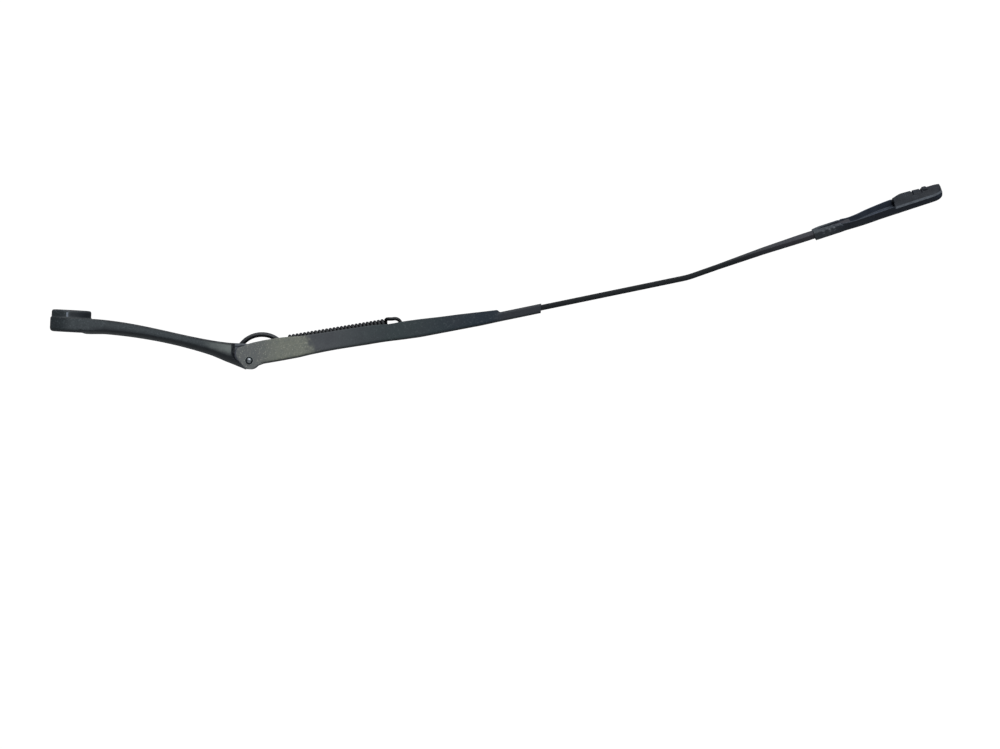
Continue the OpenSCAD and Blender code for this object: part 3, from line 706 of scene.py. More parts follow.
# %% Channel
RIM = [(110, -14.5), (123.3, -13.7), (127.7, -12.05), (129.8, -10.4), (141.3, -7.2), (155.8, -4.15),
       (167.4, -2.9), (173.2, -1.8), (217.3, 7.4), (223.1, 8.4), (231.8, 9.3), (242.7, 12.0),
       (254.2, 14.2), (268.7, 16.6), (283.2, 19.3), (297.7, 21.7), (309.3, 23.7), (320, 25.6)]
WEB = [(110, -31.6), (141, -24.4), (156, -21), (168, -18.1), (174, -16.2), (187, -12.8), (196, -10.7),
       (205, -8.8), (217, -6.3), (224, -4.7), (232, -3.1), (243, -1.2), (255, 1.1), (284, 8.2),
       (300, 12.1), (310, 14.9), (345, 24.1)]
WIDTH = [(110, 11), (156, 11), (168, 10.9), (174, 10.7), (217, 8.9), (224, 8.6), (232, 8.3),
         (243, 7.8), (255, 7.3), (284, 6.2), (300, 5.85), (306, 5.8), (345, 5.8)]
EAR_R, RIVET_HOLE_R = 6.4, 2.3
WEB_STARTS = 9.0
EAR_LOW = -31.5
SLEEVE_DROP, SLEEVE_HIGH = 3.87, 6.88
FOLD_FROM, FOLD_LEN = 309.8, 3.0
LIP_GAP = 0.7


def ease(t):
    t = min(max(t, 0), 1)
    return t * t * (3 - 2 * t)


def make_sheet_of_channel():
    web_x = PIVOT[0] + WEB_STARTS
    xs = list(np.arange(119.0, 140.9, 3.0)) + [web_x - 0.05, web_x] + list(np.arange(143.0, 305.0, 2.5))
    xs += list(np.arange(306.0, 314.0, 0.8)) + list(np.arange(315.0, 342.1, 3.0))
    paths = []
    for x in xs:
        low, rim = table(x, WEB), table(x, RIM)
        if x > SLEEVE_X:
            low = run_z(x) - SLEEVE_DROP
        if x < web_x:
            low = EAR_LOW
        closed = ease((x - FOLD_FROM) / FOLD_LEN)
        paths.append(folded_path(x, table(x, WIDTH), low, rim, LIP_GAP, closed, SLEEVE_HIGH))
    return sheet_metal("pressed_channel", paths, SHEET)


def make_channel():
    obj = make_sheet_of_channel()
    ear = near_pivot((6, -3.2)) + arc(PIVOT, EAR_R, -38, -108, 24)
    ear += near_pivot((-3.4, -4.9), (-7.9, 0.2), (-9.3, 2.2), (-9.9, 4.0), (-9.8, 6.0), (-9.3, 7.9),
                      (-8.7, 8.8), (-7.6, 9.4), (-4.3, 10.4), (-1.9, 12.1))
    around = [(100, 45), (100, -50)] + near_pivot((WEB_STARTS, -27.5), (WEB_STARTS, -1.9))
    combine(obj, prism("blank", around + ear + near_pivot((-1.9, 67.5)), -20, 20))
    inside = CHANNEL_HALF - SHEET - 0.02
    mouth = [(100, 30), (100, -50), (PIVOT[0] + WEB_STARTS, -50), (PIVOT[0] + WEB_STARTS, 30)]
    combine(obj, prism("mouth", mouth, -inside, inside))
    combine(obj, bar_across("rivet_hole", PIVOT, RIVET_HOLE_R, -20, 20))
    edges_rounded(obj, 0.28)
    smooth(obj, 35)
    return mark_wear_and_shade(obj)


add(make_channel(), PRESSING, "channel_paint", "arm", "channel")

# %% [markdown]
# ## Paint on the rod
# The rod is drawn through a die, which leaves faint lines along it that show through satin paint. The
# noise is drawn out along the arm for them. Beyond the bend the paint looks browner in the photograph.

# %% Rod paint
def rod_paint():
    f = Finish("satin paint on drawn steel bar", "#101316", 0.5, specular=0.2)
    f.tint(f.mask(f.mottle(7.0), 0.45, 0.65), "#1a1c1f", 0.5)
    f.tint(f.mask(f.read("X"), 470, 525), "#2e2c31", 0.9)
    f.dull(f.mask(f.mottle(2.5), 0.42, 0.66), 0.58)
    f.relief(f.mottle(0.5, 2.0, (0.06, 1.0, 1.0)), 0.008).relief(f.mottle(1.2), 0.01)
    return f.worn(1.5, 0.5, 0.64, "#5d6066", 0.3).done()


ROD_PAINT = rod_paint()

# %% [markdown]
# ## The rod
# The rod is a drawn flat bar. Its inner end rises to the spring's line and is bored for the
# spring's loop. It lies on the web, runs straight out of the sleeve, bends once, and is turned by 20
# degrees between that bend and the tip. A section swept along a line gives all of this.

# %% Swept bars
def swept(name, points, section, twist=None):
    """A section carried along a line in the side view, with its thickness in that plane."""
    pts = np.array(points, float)
    d = np.gradient(pts, axis=0)
    d /= np.linalg.norm(d, axis=1, keepdims=True)
    rings = []
    for i, (p, t) in enumerate(zip(pts, d)):
        w = math.radians(twist(p[0])) if twist else 0.0
        ring = []
        for a, h in (section(i) if callable(section) else section):
            y, q = a * math.cos(w) - h * math.sin(w), a * math.sin(w) + h * math.cos(w)
            ring.append((p[0] - q * t[1], y, p[1] + q * t[0]))
        rings.append(ring)
    return lofted(name, rings)


def rounded_box_section(w, t, r, n=5):
    out = []
    for sx, sy, a0 in ((1, 1, 0), (-1, 1, 90), (-1, -1, 180), (1, -1, 270)):
        for i in range(n + 1):
            g = math.radians(a0 + 90 * i / n)
            out.append((sx * (w / 2 - r) + r * math.cos(g), sy * (t / 2 - r) + r * math.sin(g)))
    return out


def rounded_line(corners, step=2.0):
    """Straight runs joined by arcs. corners are (point, bend radius)."""
    pts = [np.array(corners[0][0], float)]
    for (a, _), (b, r), (c, _) in zip(corners, corners[1:], corners[2:]):
        a, b, c = (np.array(p, float) for p in (a, b, c))
        u, v = (a - b) / np.linalg.norm(a - b), (c - b) / np.linalg.norm(c - b)
        half = math.acos(float(u @ v)) / 2
        reach = r / math.tan(half)
        n = max(6, int(r * (math.pi - 2 * half) / 0.8))
        m = b + (u + v) / np.linalg.norm(u + v) * r / math.sin(half)
        s, e = b + reach * u - m, b + reach * v - m
        g0, g1 = math.atan2(s[1], s[0]), math.atan2(e[1], e[0])
        g1 = g0 + (g1 - g0 + math.pi) % (2 * math.pi) - math.pi
        pts += [m + r * np.array((math.cos(g), math.sin(g))) for g in np.linspace(g0, g1, n + 1)]
    pts.append(np.array(corners[-1][0], float))
    out = [pts[0]]
    for p in pts[1:]:
        n = max(1, int(np.linalg.norm(p - out[-1]) / step))
        start = out[-1]
        out += [start + (p - start) * i / n for i in range(1, n + 1)]
    return out

# %% Rod
ROD_CORNERS = [(REAR - 3.7 * SPRING_DIR - 0.9 * SPRING_UP, 0), (REAR + 7 * SPRING_DIR - 2.5 * SPRING_UP, 12),
               ((274, run_z(274)), 20), (BEND_AT, 60), (SECOND_AT, 150), (TIP_AT + 28 * TIP_DIR, 0)]
EYE_T, ROD_ROUND, LOOP_HOLE_R = 2.8, 0.9, 1.8
TWIST_FROM, TWIST_LEN = 466.6, 62.1


def rod_twist(x):
    return TWIST * min(max((x - TWIST_FROM) / TWIST_LEN, 0), 1)


def make_rod():
    line = rounded_line(ROD_CORNERS)

    def section(i):
        whole = min(max((line[i][0] - REAR[0] - 4) / 12, 0), 1)
        return rounded_box_section(ROD_W, EYE_T + (ROD_T - EYE_T) * whole, ROD_ROUND)

    obj = swept("flat_rod", line, section, rod_twist)
    at = REAR - 0.4 * SPRING_DIR
    up = (SPRING_UP[0], 0, SPRING_UP[1])
    profile = [(0, -9), (LOOP_HOLE_R, -9), (LOOP_HOLE_R, 9), (0, 9)]
    combine(obj, turned("loop_hole", profile, (at[0], 0, at[1]), up, 32))
    edges_rounded(obj, 0.35, angle=50)
    smooth(obj, 35)
    return mark_wear_and_shade(obj)


add(make_rod(), ROD_PAINT, "rod_paint", "arm", "rod")

# %% [markdown]
# ## Paint on the arm end
# The tray is turned about the arm, so its shape is drawn in its own directions, which are along, across and
# up, and then moved to the tip. Its paint is rubbed pale on the rims. The dents of the crimp get painted
# highlights, its faces that turn down get painted shade, and its inside is painted lighter than its outside.

# %% Tray paint
def to_tip(points):
    """From the arm end's own directions (along, across, up) to the row frame."""
    w = math.radians(TWIST)
    out = []
    for u, y, h in points:
        a, q = y * math.cos(w) - h * math.sin(w), y * math.sin(w) + h * math.cos(w)
        x, z = TIP_AT + u * TIP_DIR + q * np.array((-TIP_DIR[1], TIP_DIR[0]))
        out.append((x, a, z))
    return out


DENTS = (7.0, 11.8, 15.3)


def tray_paint():
    f = Finish("satin paint on pressed steel tray", "#272c36", 0.46, specular=0.3)
    # Painted shade on faces that turn down.
    f.tint(f.mask(f.read("under"), 0.12, 0.3), "#10141d", 1.0)
    # Painted light: the inside, which keep_ledge marks, is painted lighter.
    f.tint(f.read("ledge"), "#3a404b", 0.85)
    crimp = f.mask(f.read("X"), 565, 545)
    f.tint(crimp, "#303336", 0.8)
    # Painted highlights on the three dents of the crimp.
    for at in to_tip([(u, -5.8, h) for u, h in zip(DENTS, (2.1, 1.6, 2.2))]):
        f.tint(f.spot(at, 1.0), "#5b5e62", 0.75)
    f.tint(f.mask(f.mottle(6.0), 0.43, 0.62), "#1b202a", 0.3)
    f.dull(f.mask(f.mottle(2.2), 0.4, 0.66), 0.56)
    f.relief(f.mottle(0.6, 4.0), 0.012)
    return f.worn(1.1, 0.42, 0.58, "#7d8088", 0.5).done()


TRAY_PAINT = tray_paint()

# %% [markdown]
# ## The arm end
# The arm end is a pressed tray. Its narrow end is folded over the rod and dented to hold it, then it
# widens into an open tray that carries the blade connector. It is turned with the rod, so the
# photograph looks down into it.

# %% Arm end
CRIMP_FLOOR = -ROD_T / 2 - 0.1 - SHEET
TIP_FLOOR = CRIMP_FLOOR + 1.4
END_RIM = 2.1
TIP_STATIONS = [(-5, 5.8, -3.3, 3.3), (21, 5.8, -3.3, 3.1), (28, 6.1, -3.4, 2.2), (35, 7.0, -3.3, 2.4),
                (42, 8.2, -2.8, 3.0), (49, 8.8, -2.35, 3.4), (55, 9.2, -2.2, 3.75), (60, 9.2, -2.2, 4.0),
                (63.2, 9.2, -2.2, 4.0), (64, 9.2, -2.2, END_RIM), (89, 9.2, -2.2, END_RIM),
                (91.7, 9.0, -2.2, END_RIM), (94.4, 8.2, -2.1, END_RIM), (96.65, 6.7, -1.5, END_RIM),
                (98, 5.2, -0.3, END_RIM)]
CRIMP_END, CRIMP_EASE, CRIMP_HIGH = 19.8, 3.0, 6.6
DENT_DEEP, DENT_WIDE = 0.7, 1.2


def dented(u, y, z, deep):
    """Pushes in the crimp's upper near side."""
    if z > 0.2 and y < -2.6:
        return u, y + deep * 0.6, z - deep * min(1, (z - 0.2) / 2)
    return u, y, z


def tray_path(u):
    """Outer line of the tray's section. Its near wall drops to the rim of the end."""
    half, floor, rim = (table(u, TIP_STATIONS, 2.5 if u < 57 else 0.8, c) for c in (1, 2, 3))
    closed = ease(1 - (u - CRIMP_END) / CRIMP_EASE)
    path = folded_path(u, half, floor, rim, 0.4 + 0.13 * max(u, 0), closed, CRIMP_HIGH)
    drop = min(max((u - 61.2) / 0.8, 0), 1) * (rim - END_RIM) / (rim - floor)
    path = [(x, y, z - (z - floor) * drop if y < 0 else z) for x, y, z in path]
    deep = DENT_DEEP * max(math.exp(-((u - at) / DENT_WIDE) ** 2) for at in DENTS)
    return [dented(*p, deep) for p in path] if closed > 0.5 else path


def moved_to_tip(obj):
    for v, p in zip(obj.data.vertices, to_tip([tuple(v.co / MM) for v in obj.data.vertices])):
        v.co = Vector(p) * MM
    return obj


def make_arm_end():
    us = list(np.arange(0, 21, 0.75)) + list(np.arange(21, 30, 0.7)) + list(np.arange(30, 57, 2.5))
    us += list(np.arange(57.5, 65, 0.75)) + list(np.arange(66, 88, 2.5))
    us += list(np.arange(88.5, 97.6, 0.7)) + [TIP_LEN]
    obj = sheet_metal("pressed_arm_end", [tray_path(u) for u in us], SHEET)
    combine(obj, prism("latch_window", [(71, -9), (83, -9), (83, 0.5), (71, 0.5)], -3.5, 3.5))
    near, far, foot, top = TIP_LEN - 1.25, TIP_LEN - 0.05, TIP_FLOOR + 0.1, END_RIM - 0.05
    combine(obj, prism("end_wall", [(near, foot), (far, foot), (far, top), (near, top)], -5.2, 5.2), "UNION")
    lip = [(-6, 1.7), (-1, 2.0), (2.5, 2.7), (6, 3.2), (9.5, 3.6), (9.5, 9), (-6, 9)]
    combine(obj, prism("slanted_lip", lip, 0.45, 12))
    nose = [(94, -2.6), (95.6, -2.15), (96.9, -1.2), (97.6, 0.0), (97.9, 1.2), (98.0, 2.3), (101, 2.3),
            (101, -4), (94, -4)]
    combine(obj, prism("rounded_nose", nose, -12, 12))
    edges_rounded(obj, 0.25)
    # Marks the inside of the tray, which is painted lighter.
    keep_ledge(obj, lambda y, h: y > 1.0)
    moved_to_tip(obj)
    smooth(obj, 35)
    return mark_wear_and_shade(obj)


add(make_arm_end(), TRAY_PAINT, "cast_paint", "arm", "arm_end")

# %% [markdown]
# ## Plastics
# The connector is glass-filled plastic and the liners are acetal. Both are moulded, and the mould's spark
# grain leaves them dull. The connector's ledge gets a painted highlight.

# %% Plastics
def moulded_plastic(name, code, lighter, pale_wear_and_highlight):
    f = Finish(name, code, 0.58, specular=0.24)
    f.tint(f.mask(f.mottle(5.0), 0.4, 0.64), lighter, 0.5)
    f.tint(f.mask(f.mottle(0.35, 1.0), 0.58, 0.7), lighter, 0.5)
    f.dull(f.mask(f.mottle(1.8), 0.4, 0.66), 0.62)
    f.relief(f.mottle(0.28, 3.0), 0.014)
    # Painted highlight in patches on the ledge.
    f.tint(f.mask(f.mottle(2.2), 0.3, 0.6, 0.55, 1.0), pale_wear_and_highlight, 0.9, f.read("ledge"))
    return f.worn(1.0, 0.42, 0.6, pale_wear_and_highlight, 0.3).done()


GLASS_FILLED = moulded_plastic("dark grey glass-filled plastic", "#0b0e15", "#191d25", "#484c52")
ACETAL = moulded_plastic("grey acetal", "#494b54", "#5c5e67", "#83868e")

# %% [markdown]
# ## The blade connector
# The connector is a moulded box in the tray, open above and towards the rod, where the blade's
# adapter enters. The photograph shows its flat lighter side, the ledge at its foot, the notches in
# its top rim and its rounded end.

# %% Cover's section
LOW = TIP_FLOOR + SHEET + 0.05
CONNECTOR_FROM, CONNECTOR_END = 60.9, TIP_LEN + 0.15
CONNECTOR_TOP = [(60, 6.6), (63.6, 7.3), (66, 8.0), (69, 8.35), (77, 7.95), (83, 7.4), (88.7, 6.9),
                 (95.8, 6.75), (98.2, 6.5)]
MOUTH_LEAN = 0.27


def cover_ring(u, pinch):
    """The cover's section: a bevelled flange on the tray's rims, a sloped side and a rounded top."""
    flange = table(u, TIP_STATIONS, 0.8) + 0.35
    high = table(u, CONNECTOR_TOP, 1.5)
    crest = 3.6 - pinch
    side = min(flange - 1.1, 8.3 - pinch)
    half = [(flange - 0.1, 2.18), (flange, 2.3), (flange - 0.15, 2.5), (side + 0.15, 3.35), (side, 3.55),
            (side - 0.12, 3.75), (crest + 1.3, high - 1.6), (crest + 0.75, high - 0.8),
            (crest - 0.1, high - 0.22), (crest - 1.4, high)]
    lean = [MOUTH_LEAN * (h - LOW) * max(0.0, 1 - (u - CONNECTOR_FROM) / 9.0) for _, h in half]
    near = [(u + d, -y, h) for d, (y, h) in zip(lean, half)]
    return near + [(x, -y, h) for x, y, h in near[::-1]]

# %% Connector
def make_connector():
    us = [CONNECTOR_FROM] + list(np.arange(62.5, 88, 2.5)) + list(np.arange(88.5, 97.6, 0.9))
    us.append(CONNECTOR_END)
    obj = lofted("connector_cover", [cover_ring(u, max(0.0, u - 92.5) ** 2 * 0.03) for u in us])
    foot = [(62, -7.2), (91, -7.2), (94, -6.4), (96, -5.2), (96.7, -4.4)]
    foot += [(u, -y) for u, y in foot[::-1]]
    combine(obj, lofted("foot", [[(u, y, h) for u, y in foot] for h in (LOW, 2.6)]), "UNION")
    hollow = [(5.7, LOW - 1), (5.7, LOW + 0.4), (2.4, 4.5), (1.4, 5.3)]
    hollow = [(-y, h) for y, h in hollow] + [(y, h) for y, h in hollow[::-1]]
    combine(obj, lofted("cavity", [[(u, y, h) for y, h in hollow] for u in (54, 86)]))
    for u, deep in ((77.0, 6.3), (83.4, 6.0)):
        cut = [(u, deep), (u + 0.9, deep), (u + 1.5, deep + 4), (u - 0.5, deep + 4)]
        combine(obj, prism("notch", cut, -12, 12))
    bump = [(85.2, 5), (88.6, 5), (88.5, 7.55), (88, 7.7), (85.7, 7.85), (85.3, 7.7)]
    combine(obj, prism("bump", bump, -3.4, 3.4), "UNION")
    edges_rounded(obj, 0.22)
    # Marks the ledge at the foot, which gets a painted highlight.
    keep_ledge(obj, lambda y, h: 2.25 < h < 3.6 and abs(y) > 5.0)
    moved_to_tip(obj)
    smooth(obj, 35)
    return mark_wear_and_shade(obj)


add(make_connector(), GLASS_FILLED, "connector_plastic", "arm", "blade_connector")

# %% [markdown]
# ## Paint on the hook
# The hook has the rod's satin paint, a little glossier on the forged bar and rubbed along its crest.

# %% Hook paint
def bar_paint():
    f = Finish("satin paint on forged round bar", "#111316", 0.4, specular=0.4)
    f.tint(f.mask(f.mottle(3.0), 0.44, 0.64), "#1d1c22", 0.6)
    f.dull(f.mask(f.mottle(1.6), 0.42, 0.66), 0.5)
    f.relief(f.mottle(0.5, 3.0), 0.008)
    return f.worn(1.2, 0.5, 0.64, "#5d6066", 0.3).done()


HOOK_PAINT = bar_paint()

# %% [markdown]
# ## The hook
# The hook is a round bar bowed over the pivot. Its ends are forged flat and pierced: one eye turns
# on the head's pin and the other holds the spring. The forging's soft transitions come from
# skinning the joined solids again.

# %% Hook
BAR = 3.6
BOW_R = 19.2
EYE_R, EYE_HOLE_R, PIN_EYE_R = 3.85, 1.85, 5.0
FLAT_HALF = 1.65
BOW_FROM = BOW_MID - ANCHOR
BOW_ALONG = float(BOW_FROM @ SPRING_DIR)
BOW_ACROSS = float(BOW_FROM[0] * SPRING_DIR[1] - BOW_FROM[1] * SPRING_DIR[0])
EYE_Q = BOW_ALONG + math.sqrt((BOW_R - BAR / 2 - 1.9) ** 2 - BOW_ACROSS ** 2)
EYE = ANCHOR + EYE_Q * SPRING_DIR


def make_hook():
    a = math.degrees(math.atan2(*(ANCHOR - BOW_MID)[::-1])) - 6
    b = math.degrees(math.atan2(*(EYE - BOW_MID)[::-1])) - 4
    line = arc(BOW_MID, BOW_R, a, b, 60)
    section = [(BAR / 2 * math.cos(g), BAR / 2 * math.sin(g)) for g in np.linspace(0, 2 * math.pi, 25)[:-1]]
    obj = swept("bowed_hook", line, section)
    combine(obj, bar_across("eye", ANCHOR, PIN_EYE_R, -FLAT_HALF, FLAT_HALF), "UNION")
    combine(obj, bar_across("eye", EYE, EYE_R, -FLAT_HALF, FLAT_HALF), "UNION")
    combine(obj, bar_across("hole", ANCHOR, PIN_R, -6, 6))
    combine(obj, bar_across("hole", EYE, EYE_HOLE_R, -6, 6))
    remeshed(obj, 0.2, 5, 30000)
    return mark_wear_and_shade(obj, dense=True)


add(make_hook(), HOOK_PAINT, "cast_paint", "hook", "spring_hook")

# %% [markdown]
# ## The spring
# A tension spring wound from 2.6 mm wire. Its front loop hangs in the hook's eye and its rear loop stands up
# through the hole in the rod. The wire follows one path, so it is a curve that a small Geometry Nodes tree
# turns into round wire. Its steel is black with oil, with lighter patches at random.

# %% Spring's wire
def spring_wire():
    f = Finish("oiled black spring wire", "#0f0f11", 0.4, metal=0.3, specular=0.35)
    f.tint(f.mask(f.mottle(1.4), 0.45, 0.64), "#1c1c1e", 0.6)
    f.dull(f.mask(f.mottle(0.8), 0.42, 0.66), 0.5)
    return f.relief(f.mottle(0.25, 2.0), 0.004).done()


WIRE_STEEL = spring_wire()

# %% Spring's path
LOOP_R, COIL_R, COIL_LIFT, WIRE = 4.4, 3.88, 0.48, 2.6
TURNS, LEAD = 26, 50.0


def spring_path():
    front, rear = EYE_Q + LOOP_R, SPRING_LEN - LOOP_R
    start, end = front + LOOP_R + WIRE * 0.8, rear - LOOP_R - WIRE * 0.8
    sweep = TURNS * 360 + 90 - 2 * LEAD
    body = []
    count = int(sweep / 15)
    for i in range(count + 1):
        a = math.radians(LEAD + sweep * i / count)
        body.append(np.array((start + (end - start) * i / count, COIL_R * math.cos(a),
                              COIL_LIFT + COIL_R * math.sin(a))))
    hook = [np.array((front - LOOP_R * math.cos(g), LOOP_R * math.sin(g), 0.0))
            for g in np.radians(np.linspace(-155, 90, 26))]
    loop = [np.array((rear + LOOP_R * math.cos(g), 0.0, LOOP_R * math.sin(g)))
            for g in np.radians(np.linspace(90, -155, 26))]

    def bridge(p, d0, q, d1, n=10):
        k = COIL_R * 1.05
        return [bezier((p, p + k * d0, q - k * d1, q), i / n) for i in range(1, n)]

    x = np.array((1.0, 0.0, 0.0))
    first = body[1] - body[0]
    last = body[-1] - body[-2]
    path = hook + bridge(hook[-1], x, body[0], first / np.linalg.norm(first)) + body
    path += bridge(body[-1], last / np.linalg.norm(last), loop[0], x) + loop
    return path


print("spring path", len(spring_path()), "points,", TURNS, "turns")

# %% Wire tree
def wire_tree(radius, sides):
    """Geometry Nodes: a curve becomes round wire with closed ends."""
    tree = bpy.data.node_groups.new("round wire", "GeometryNodeTree")
    face = tree.interface
    face.new_socket("Geometry", in_out="INPUT", socket_type="NodeSocketGeometry")
    size = face.new_socket("Wire Radius", in_out="INPUT", socket_type="NodeSocketFloat")
    size.default_value = radius
    count = face.new_socket("Sides", in_out="INPUT", socket_type="NodeSocketInt")
    count.default_value = sides
    face.new_socket("Geometry", in_out="OUTPUT", socket_type="NodeSocketGeometry")
    start, end = tree.nodes.new("NodeGroupInput"), tree.nodes.new("NodeGroupOutput")
    ring = tree.nodes.new("GeometryNodeCurvePrimitiveCircle")
    skin = tree.nodes.new("GeometryNodeCurveToMesh")
    skin.inputs["Fill Caps"].default_value = True
    real = tree.nodes.new("GeometryNodeRealizeInstances")
    paint = tree.nodes.new("GeometryNodeSetMaterial")
    paint.inputs["Material"].default_value = WIRE_STEEL
    link = tree.links.new
    link(start.outputs["Wire Radius"], ring.inputs["Radius"])
    link(start.outputs["Sides"], ring.inputs["Resolution"])
    link(start.outputs["Geometry"], skin.inputs["Curve"])
    link(ring.outputs["Curve"], skin.inputs["Profile Curve"])
    link(skin.outputs["Mesh"], real.inputs["Geometry"])
    link(real.outputs["Geometry"], paint.inputs["Geometry"])
    link(paint.outputs["Geometry"], end.inputs["Geometry"])
    return tree, size.identifier, count.identifier

# %% Spring
def make_spring():
    d = Vector((SPRING_DIR[0], 0, SPRING_DIR[1]))
    up = Vector((SPRING_UP[0], 0, SPRING_UP[1]))
    origin = Vector((ANCHOR[0], 0, ANCHOR[1]))
    points = [(origin + float(p[0]) * d + float(p[1]) * Vector((0, 1, 0)) + float(p[2]) * up) * MM
              for p in spring_path()]
    curve = bpy.data.curves.new("spring line", "CURVE")
    curve.dimensions = "3D"
    spline = curve.splines.new("POLY")
    spline.points.add(len(points) - 1)
    for slot, p in zip(spline.points, points):
        slot.co = (*p, 1.0)
    holder = bpy.data.objects.new("spring line", curve)
    bpy.context.scene.collection.objects.link(holder)
    tree, size, count = wire_tree(WIRE / 2 * MM, 12)
    mod = holder.modifiers.new("wire", "NODES")
    mod.node_group = tree
    mod[size], mod[count] = WIRE / 2 * MM, 12
    seen = holder.evaluated_get(bpy.context.evaluated_depsgraph_get())
    mesh = bpy.data.meshes.new_from_object(seen)
    bpy.data.objects.remove(holder)
    obj = bpy.data.objects.new("coil_spring", mesh)
    bpy.context.scene.collection.objects.link(obj)
    outward(obj)
    return smooth(obj, 50), origin, d


spring, spring_from, spring_way = make_spring()
spring.data.materials.clear()
spring.data.materials.append(WIRE_STEEL)
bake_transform(spring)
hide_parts("tension_spring")
print("coil_spring", len(spring.data.polygons), "faces")

# %% [markdown]
# ## Bare steel
# The rivet is upset on both sides, which rubs its dome bright, and the ring round it is painted dark as
# shade. The bush is zinc plated, with a dull film in patches. Both are metals, so they keep the default
# specular level.

# %% Bare steel
def plated_steel(name, code, rough):
    f = Finish(name, code, rough, metal=1.0)
    f.tint(f.mask(f.mottle(1.8), 0.42, 0.62), "#4c4e50", 0.4)
    f.dull(f.mask(f.mottle(0.9), 0.42, 0.66), rough + 0.16)
    return f.relief(f.mottle(0.3, 3.0), 0.006).done()


def rivet_finish():
    f = Finish("upset rivet steel", "#888b8d", 0.36, metal=1.0)
    f.tint(f.mask(f.mottle(1.4), 0.46, 0.66), "#8d9294", 0.5)
    f.dull(f.mask(f.mottle(0.8), 0.42, 0.66), 0.46)
    f.relief(f.mottle(0.3, 3.0), 0.006)
    # Painted shade in the ring round the dome.
    ring = f.mask(f.from_line(*PIVOT), 1.5, 1.85)
    f.tint(ring, "#1b1f22", 0.97)
    return f.dull(ring, 0.6).done()


PLATED = plated_steel("zinc plated steel", "#8b8e90", 0.34)
RIVET_STEEL = rivet_finish()

# %% [markdown]
# ## The pivot's small parts
# The rivet's head shows as a bright dome in a darker ring, so it is turned with that ring. The bush,
# the hook's pin and the liners keep their CAD shape and get a finish.

# %% Pivot parts
SHANK_R = 2.25


def make_rivet():
    seat = CHANNEL_HALF + 0.02
    head = [(2.72, 0), (2.8, 0.25), (2.7, 0.5), (2.35, 0.62), (2.0, 0.5), (1.78, 0.46), (1.62, 0.62),
            (1.3, 0.9), (0.8, 1.06), (0.35, 1.1), (0, 1.1)]
    head = [(r, seat + h) for r, h in head]
    profile = [(r, -h) for r, h in head[::-1]] + [(SHANK_R, -seat), (SHANK_R, seat)] + head
    obj = turned("rivet", profile, (PIVOT[0], 0, PIVOT[1]), (0, 1, 0), 72)
    return smooth(obj, 60)


add(make_rivet(), RIVET_STEEL, "bare_steel", "arm", "pivot_rivet")
for name, material in (("pivot_bush", PLATED), ("hook_pin", CASTING), ("liner_near", ACETAL),
                       ("liner_far", ACETAL)):
    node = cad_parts[name]
    if not node.material_slots:
        node.data.materials.append(material)
    for slot in node.material_slots:
        slot.material = material
    print(name, "in", material.name)

# %% [markdown]
# ## Studio
# A white background that only the camera sees, a pale floor well below the arm, which hangs from its
# spindle, and soft lamps from above and from the camera's left, where the photograph's sheen is.

# %% Floor
FLOOR_Z = -660.0
corners = [(-1500, -1900, FLOOR_Z), (2200, -1900, FLOOR_Z), (2200, 1900, FLOOR_Z), (-1500, 1900, FLOOR_Z)]
floor = new_object("studio_floor", corners, [(0, 1, 2, 3)])
paper = Finish("pale studio paper", "#c9c9c7", 0.85, specular=0.2)
paper.tint(paper.mask(paper.mottle(60.0), 0.4, 0.65), "#d2d2d0", 0.5)
floor.data.materials.append(paper.done())
floor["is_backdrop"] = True

# %% Lamps
def lamp(name, at, aim, size, power):
    data = bpy.data.lights.new(name, "AREA")
    data.shape, data.size, data.size_y, data.energy = "RECTANGLE", size[0], size[1], power
    data.color = (0.93, 0.975, 1.0)
    obj = bpy.data.objects.new(name, data)
    bpy.context.scene.collection.objects.link(obj)
    obj.location = Vector(at)
    obj.rotation_euler = (Vector(aim) - Vector(at)).to_track_quat("-Z", "Y").to_euler()
    return obj


lamp("overhead", (0.3, -0.25, 0.95), (0.3, 0, 0), (1.8, 0.7), 10.5)
lamp("sheen", (0.02, -2.3, 1.1), (0.2, 0, 0), (0.7, 0.5), 19)
lamp("front_fill", (1.2, -1.9, 1.3), (0.45, 0, 0.05), (1.2, 0.8), 8.5)
print("lamps", len(bpy.data.lights))

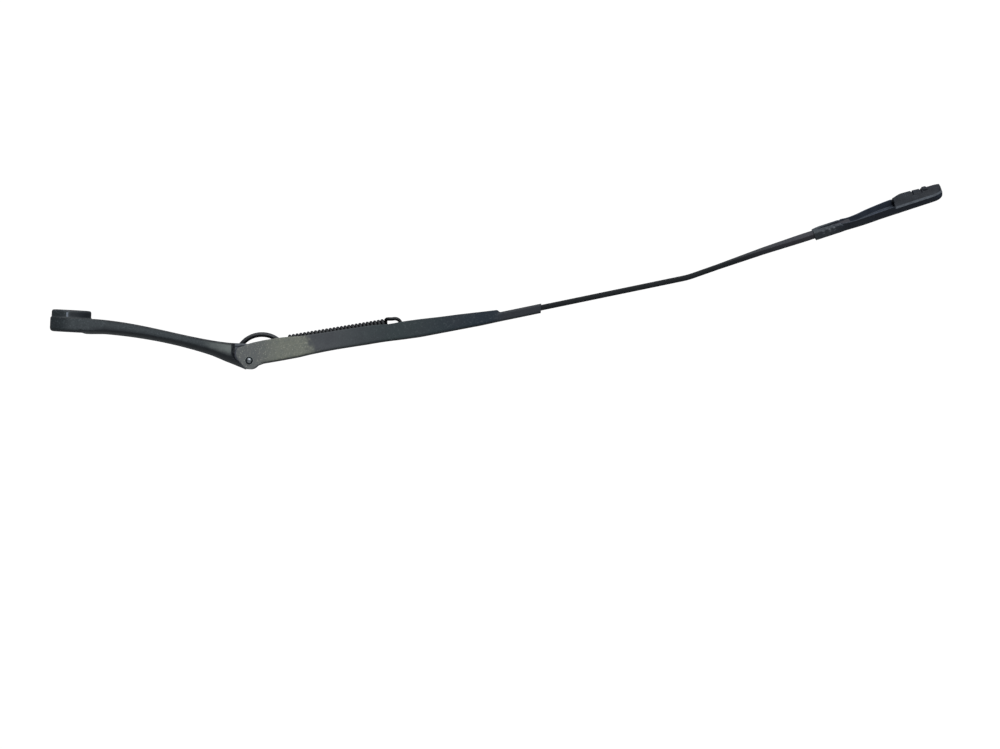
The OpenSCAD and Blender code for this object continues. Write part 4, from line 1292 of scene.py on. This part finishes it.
# %% Background
world = bpy.data.worlds.new("studio")
bpy.context.scene.world = world
world.use_nodes = True
nodes, links = world.node_tree.nodes, world.node_tree.links
nodes.clear()
seen_by, either, mix, out, sky, height, fade, ambient, white = (nodes.new("ShaderNode" + kind) for kind in (
    "LightPath", "Math", "MixShader", "OutputWorld", "TexCoord", "SeparateXYZ", "MapRange", "Background",
    "Background"))
either.operation = "MAXIMUM"
for key, v in (("From Min", -0.1), ("From Max", 0.6), ("To Min", 0.06), ("To Max", 0.6)):
    fade.inputs[key].default_value = v
ambient.inputs["Color"].default_value = linear("#e2eaf2")
white.inputs["Color"].default_value = (1, 1, 1, 1)
white.inputs["Strength"].default_value = 1.05
for start, end in ((seen_by.outputs["Is Camera Ray"], either.inputs[0]),
                   (seen_by.outputs["Is Transmission Ray"], either.inputs[1]),
                   (sky.outputs["Generated"], height.inputs[0]),
                   (height.outputs["Z"], fade.inputs["Value"]),
                   (fade.outputs["Result"], ambient.inputs["Strength"]),
                   (either.outputs[0], mix.inputs[0]),
                   (ambient.outputs[0], mix.inputs[1]),
                   (white.outputs[0], mix.inputs[2]),
                   (mix.outputs[0], out.inputs["Surface"])):
    links.new(start, end)
print("background", len(nodes), "nodes")

# %% [markdown]
# ## Camera
# The photograph is a side view with a long lens, turned by three degrees. One pixel is 0.73 mm at
# the arm's middle plane. The camera looks at the picture's middle, which is found from the pixel
# where the spindle's axis meets the frame's origin.

# %% Camera
PIXEL, TURN, WIDE, FAR = 0.73, math.radians(3.0), 1000, 2600.0
ORIGIN_PX, MIDDLE_PX = (71.2, 320.4), (500.0, 374.5)
SENSOR = 36.0
right = Vector((math.cos(TURN), 0, math.sin(TURN)))
up = Vector((-math.sin(TURN), 0, math.cos(TURN)))
dx, dy = (m - o for m, o in zip(MIDDLE_PX, ORIGIN_PX))
look = PIXEL * (dx * right - dy * up)
cam = bpy.data.cameras.new("camera")
cam.sensor_width = SENSOR
cam.lens = SENSOR * FAR / (PIXEL * WIDE)
cam.clip_end = 20.0
camera = bpy.data.objects.new("camera", cam)
bpy.context.scene.collection.objects.link(camera)
facing = Matrix((right, up, Vector((0, -1, 0)))).transposed().to_4x4()
camera.matrix_world = Matrix.Translation((look + Vector((0, -FAR, 0))) * MM) @ facing
bpy.context.scene.camera = camera
bpy.context.scene.view_settings.view_transform = "Standard"
print("lens", round(cam.lens, 1), "mm")

# %% Sizes and end
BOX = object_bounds()
for title, box in (("size", BOX), ("cad", CAD_BOX)):
    print(title, [round(v / MM, 1) for v in box[1] - box[0]])
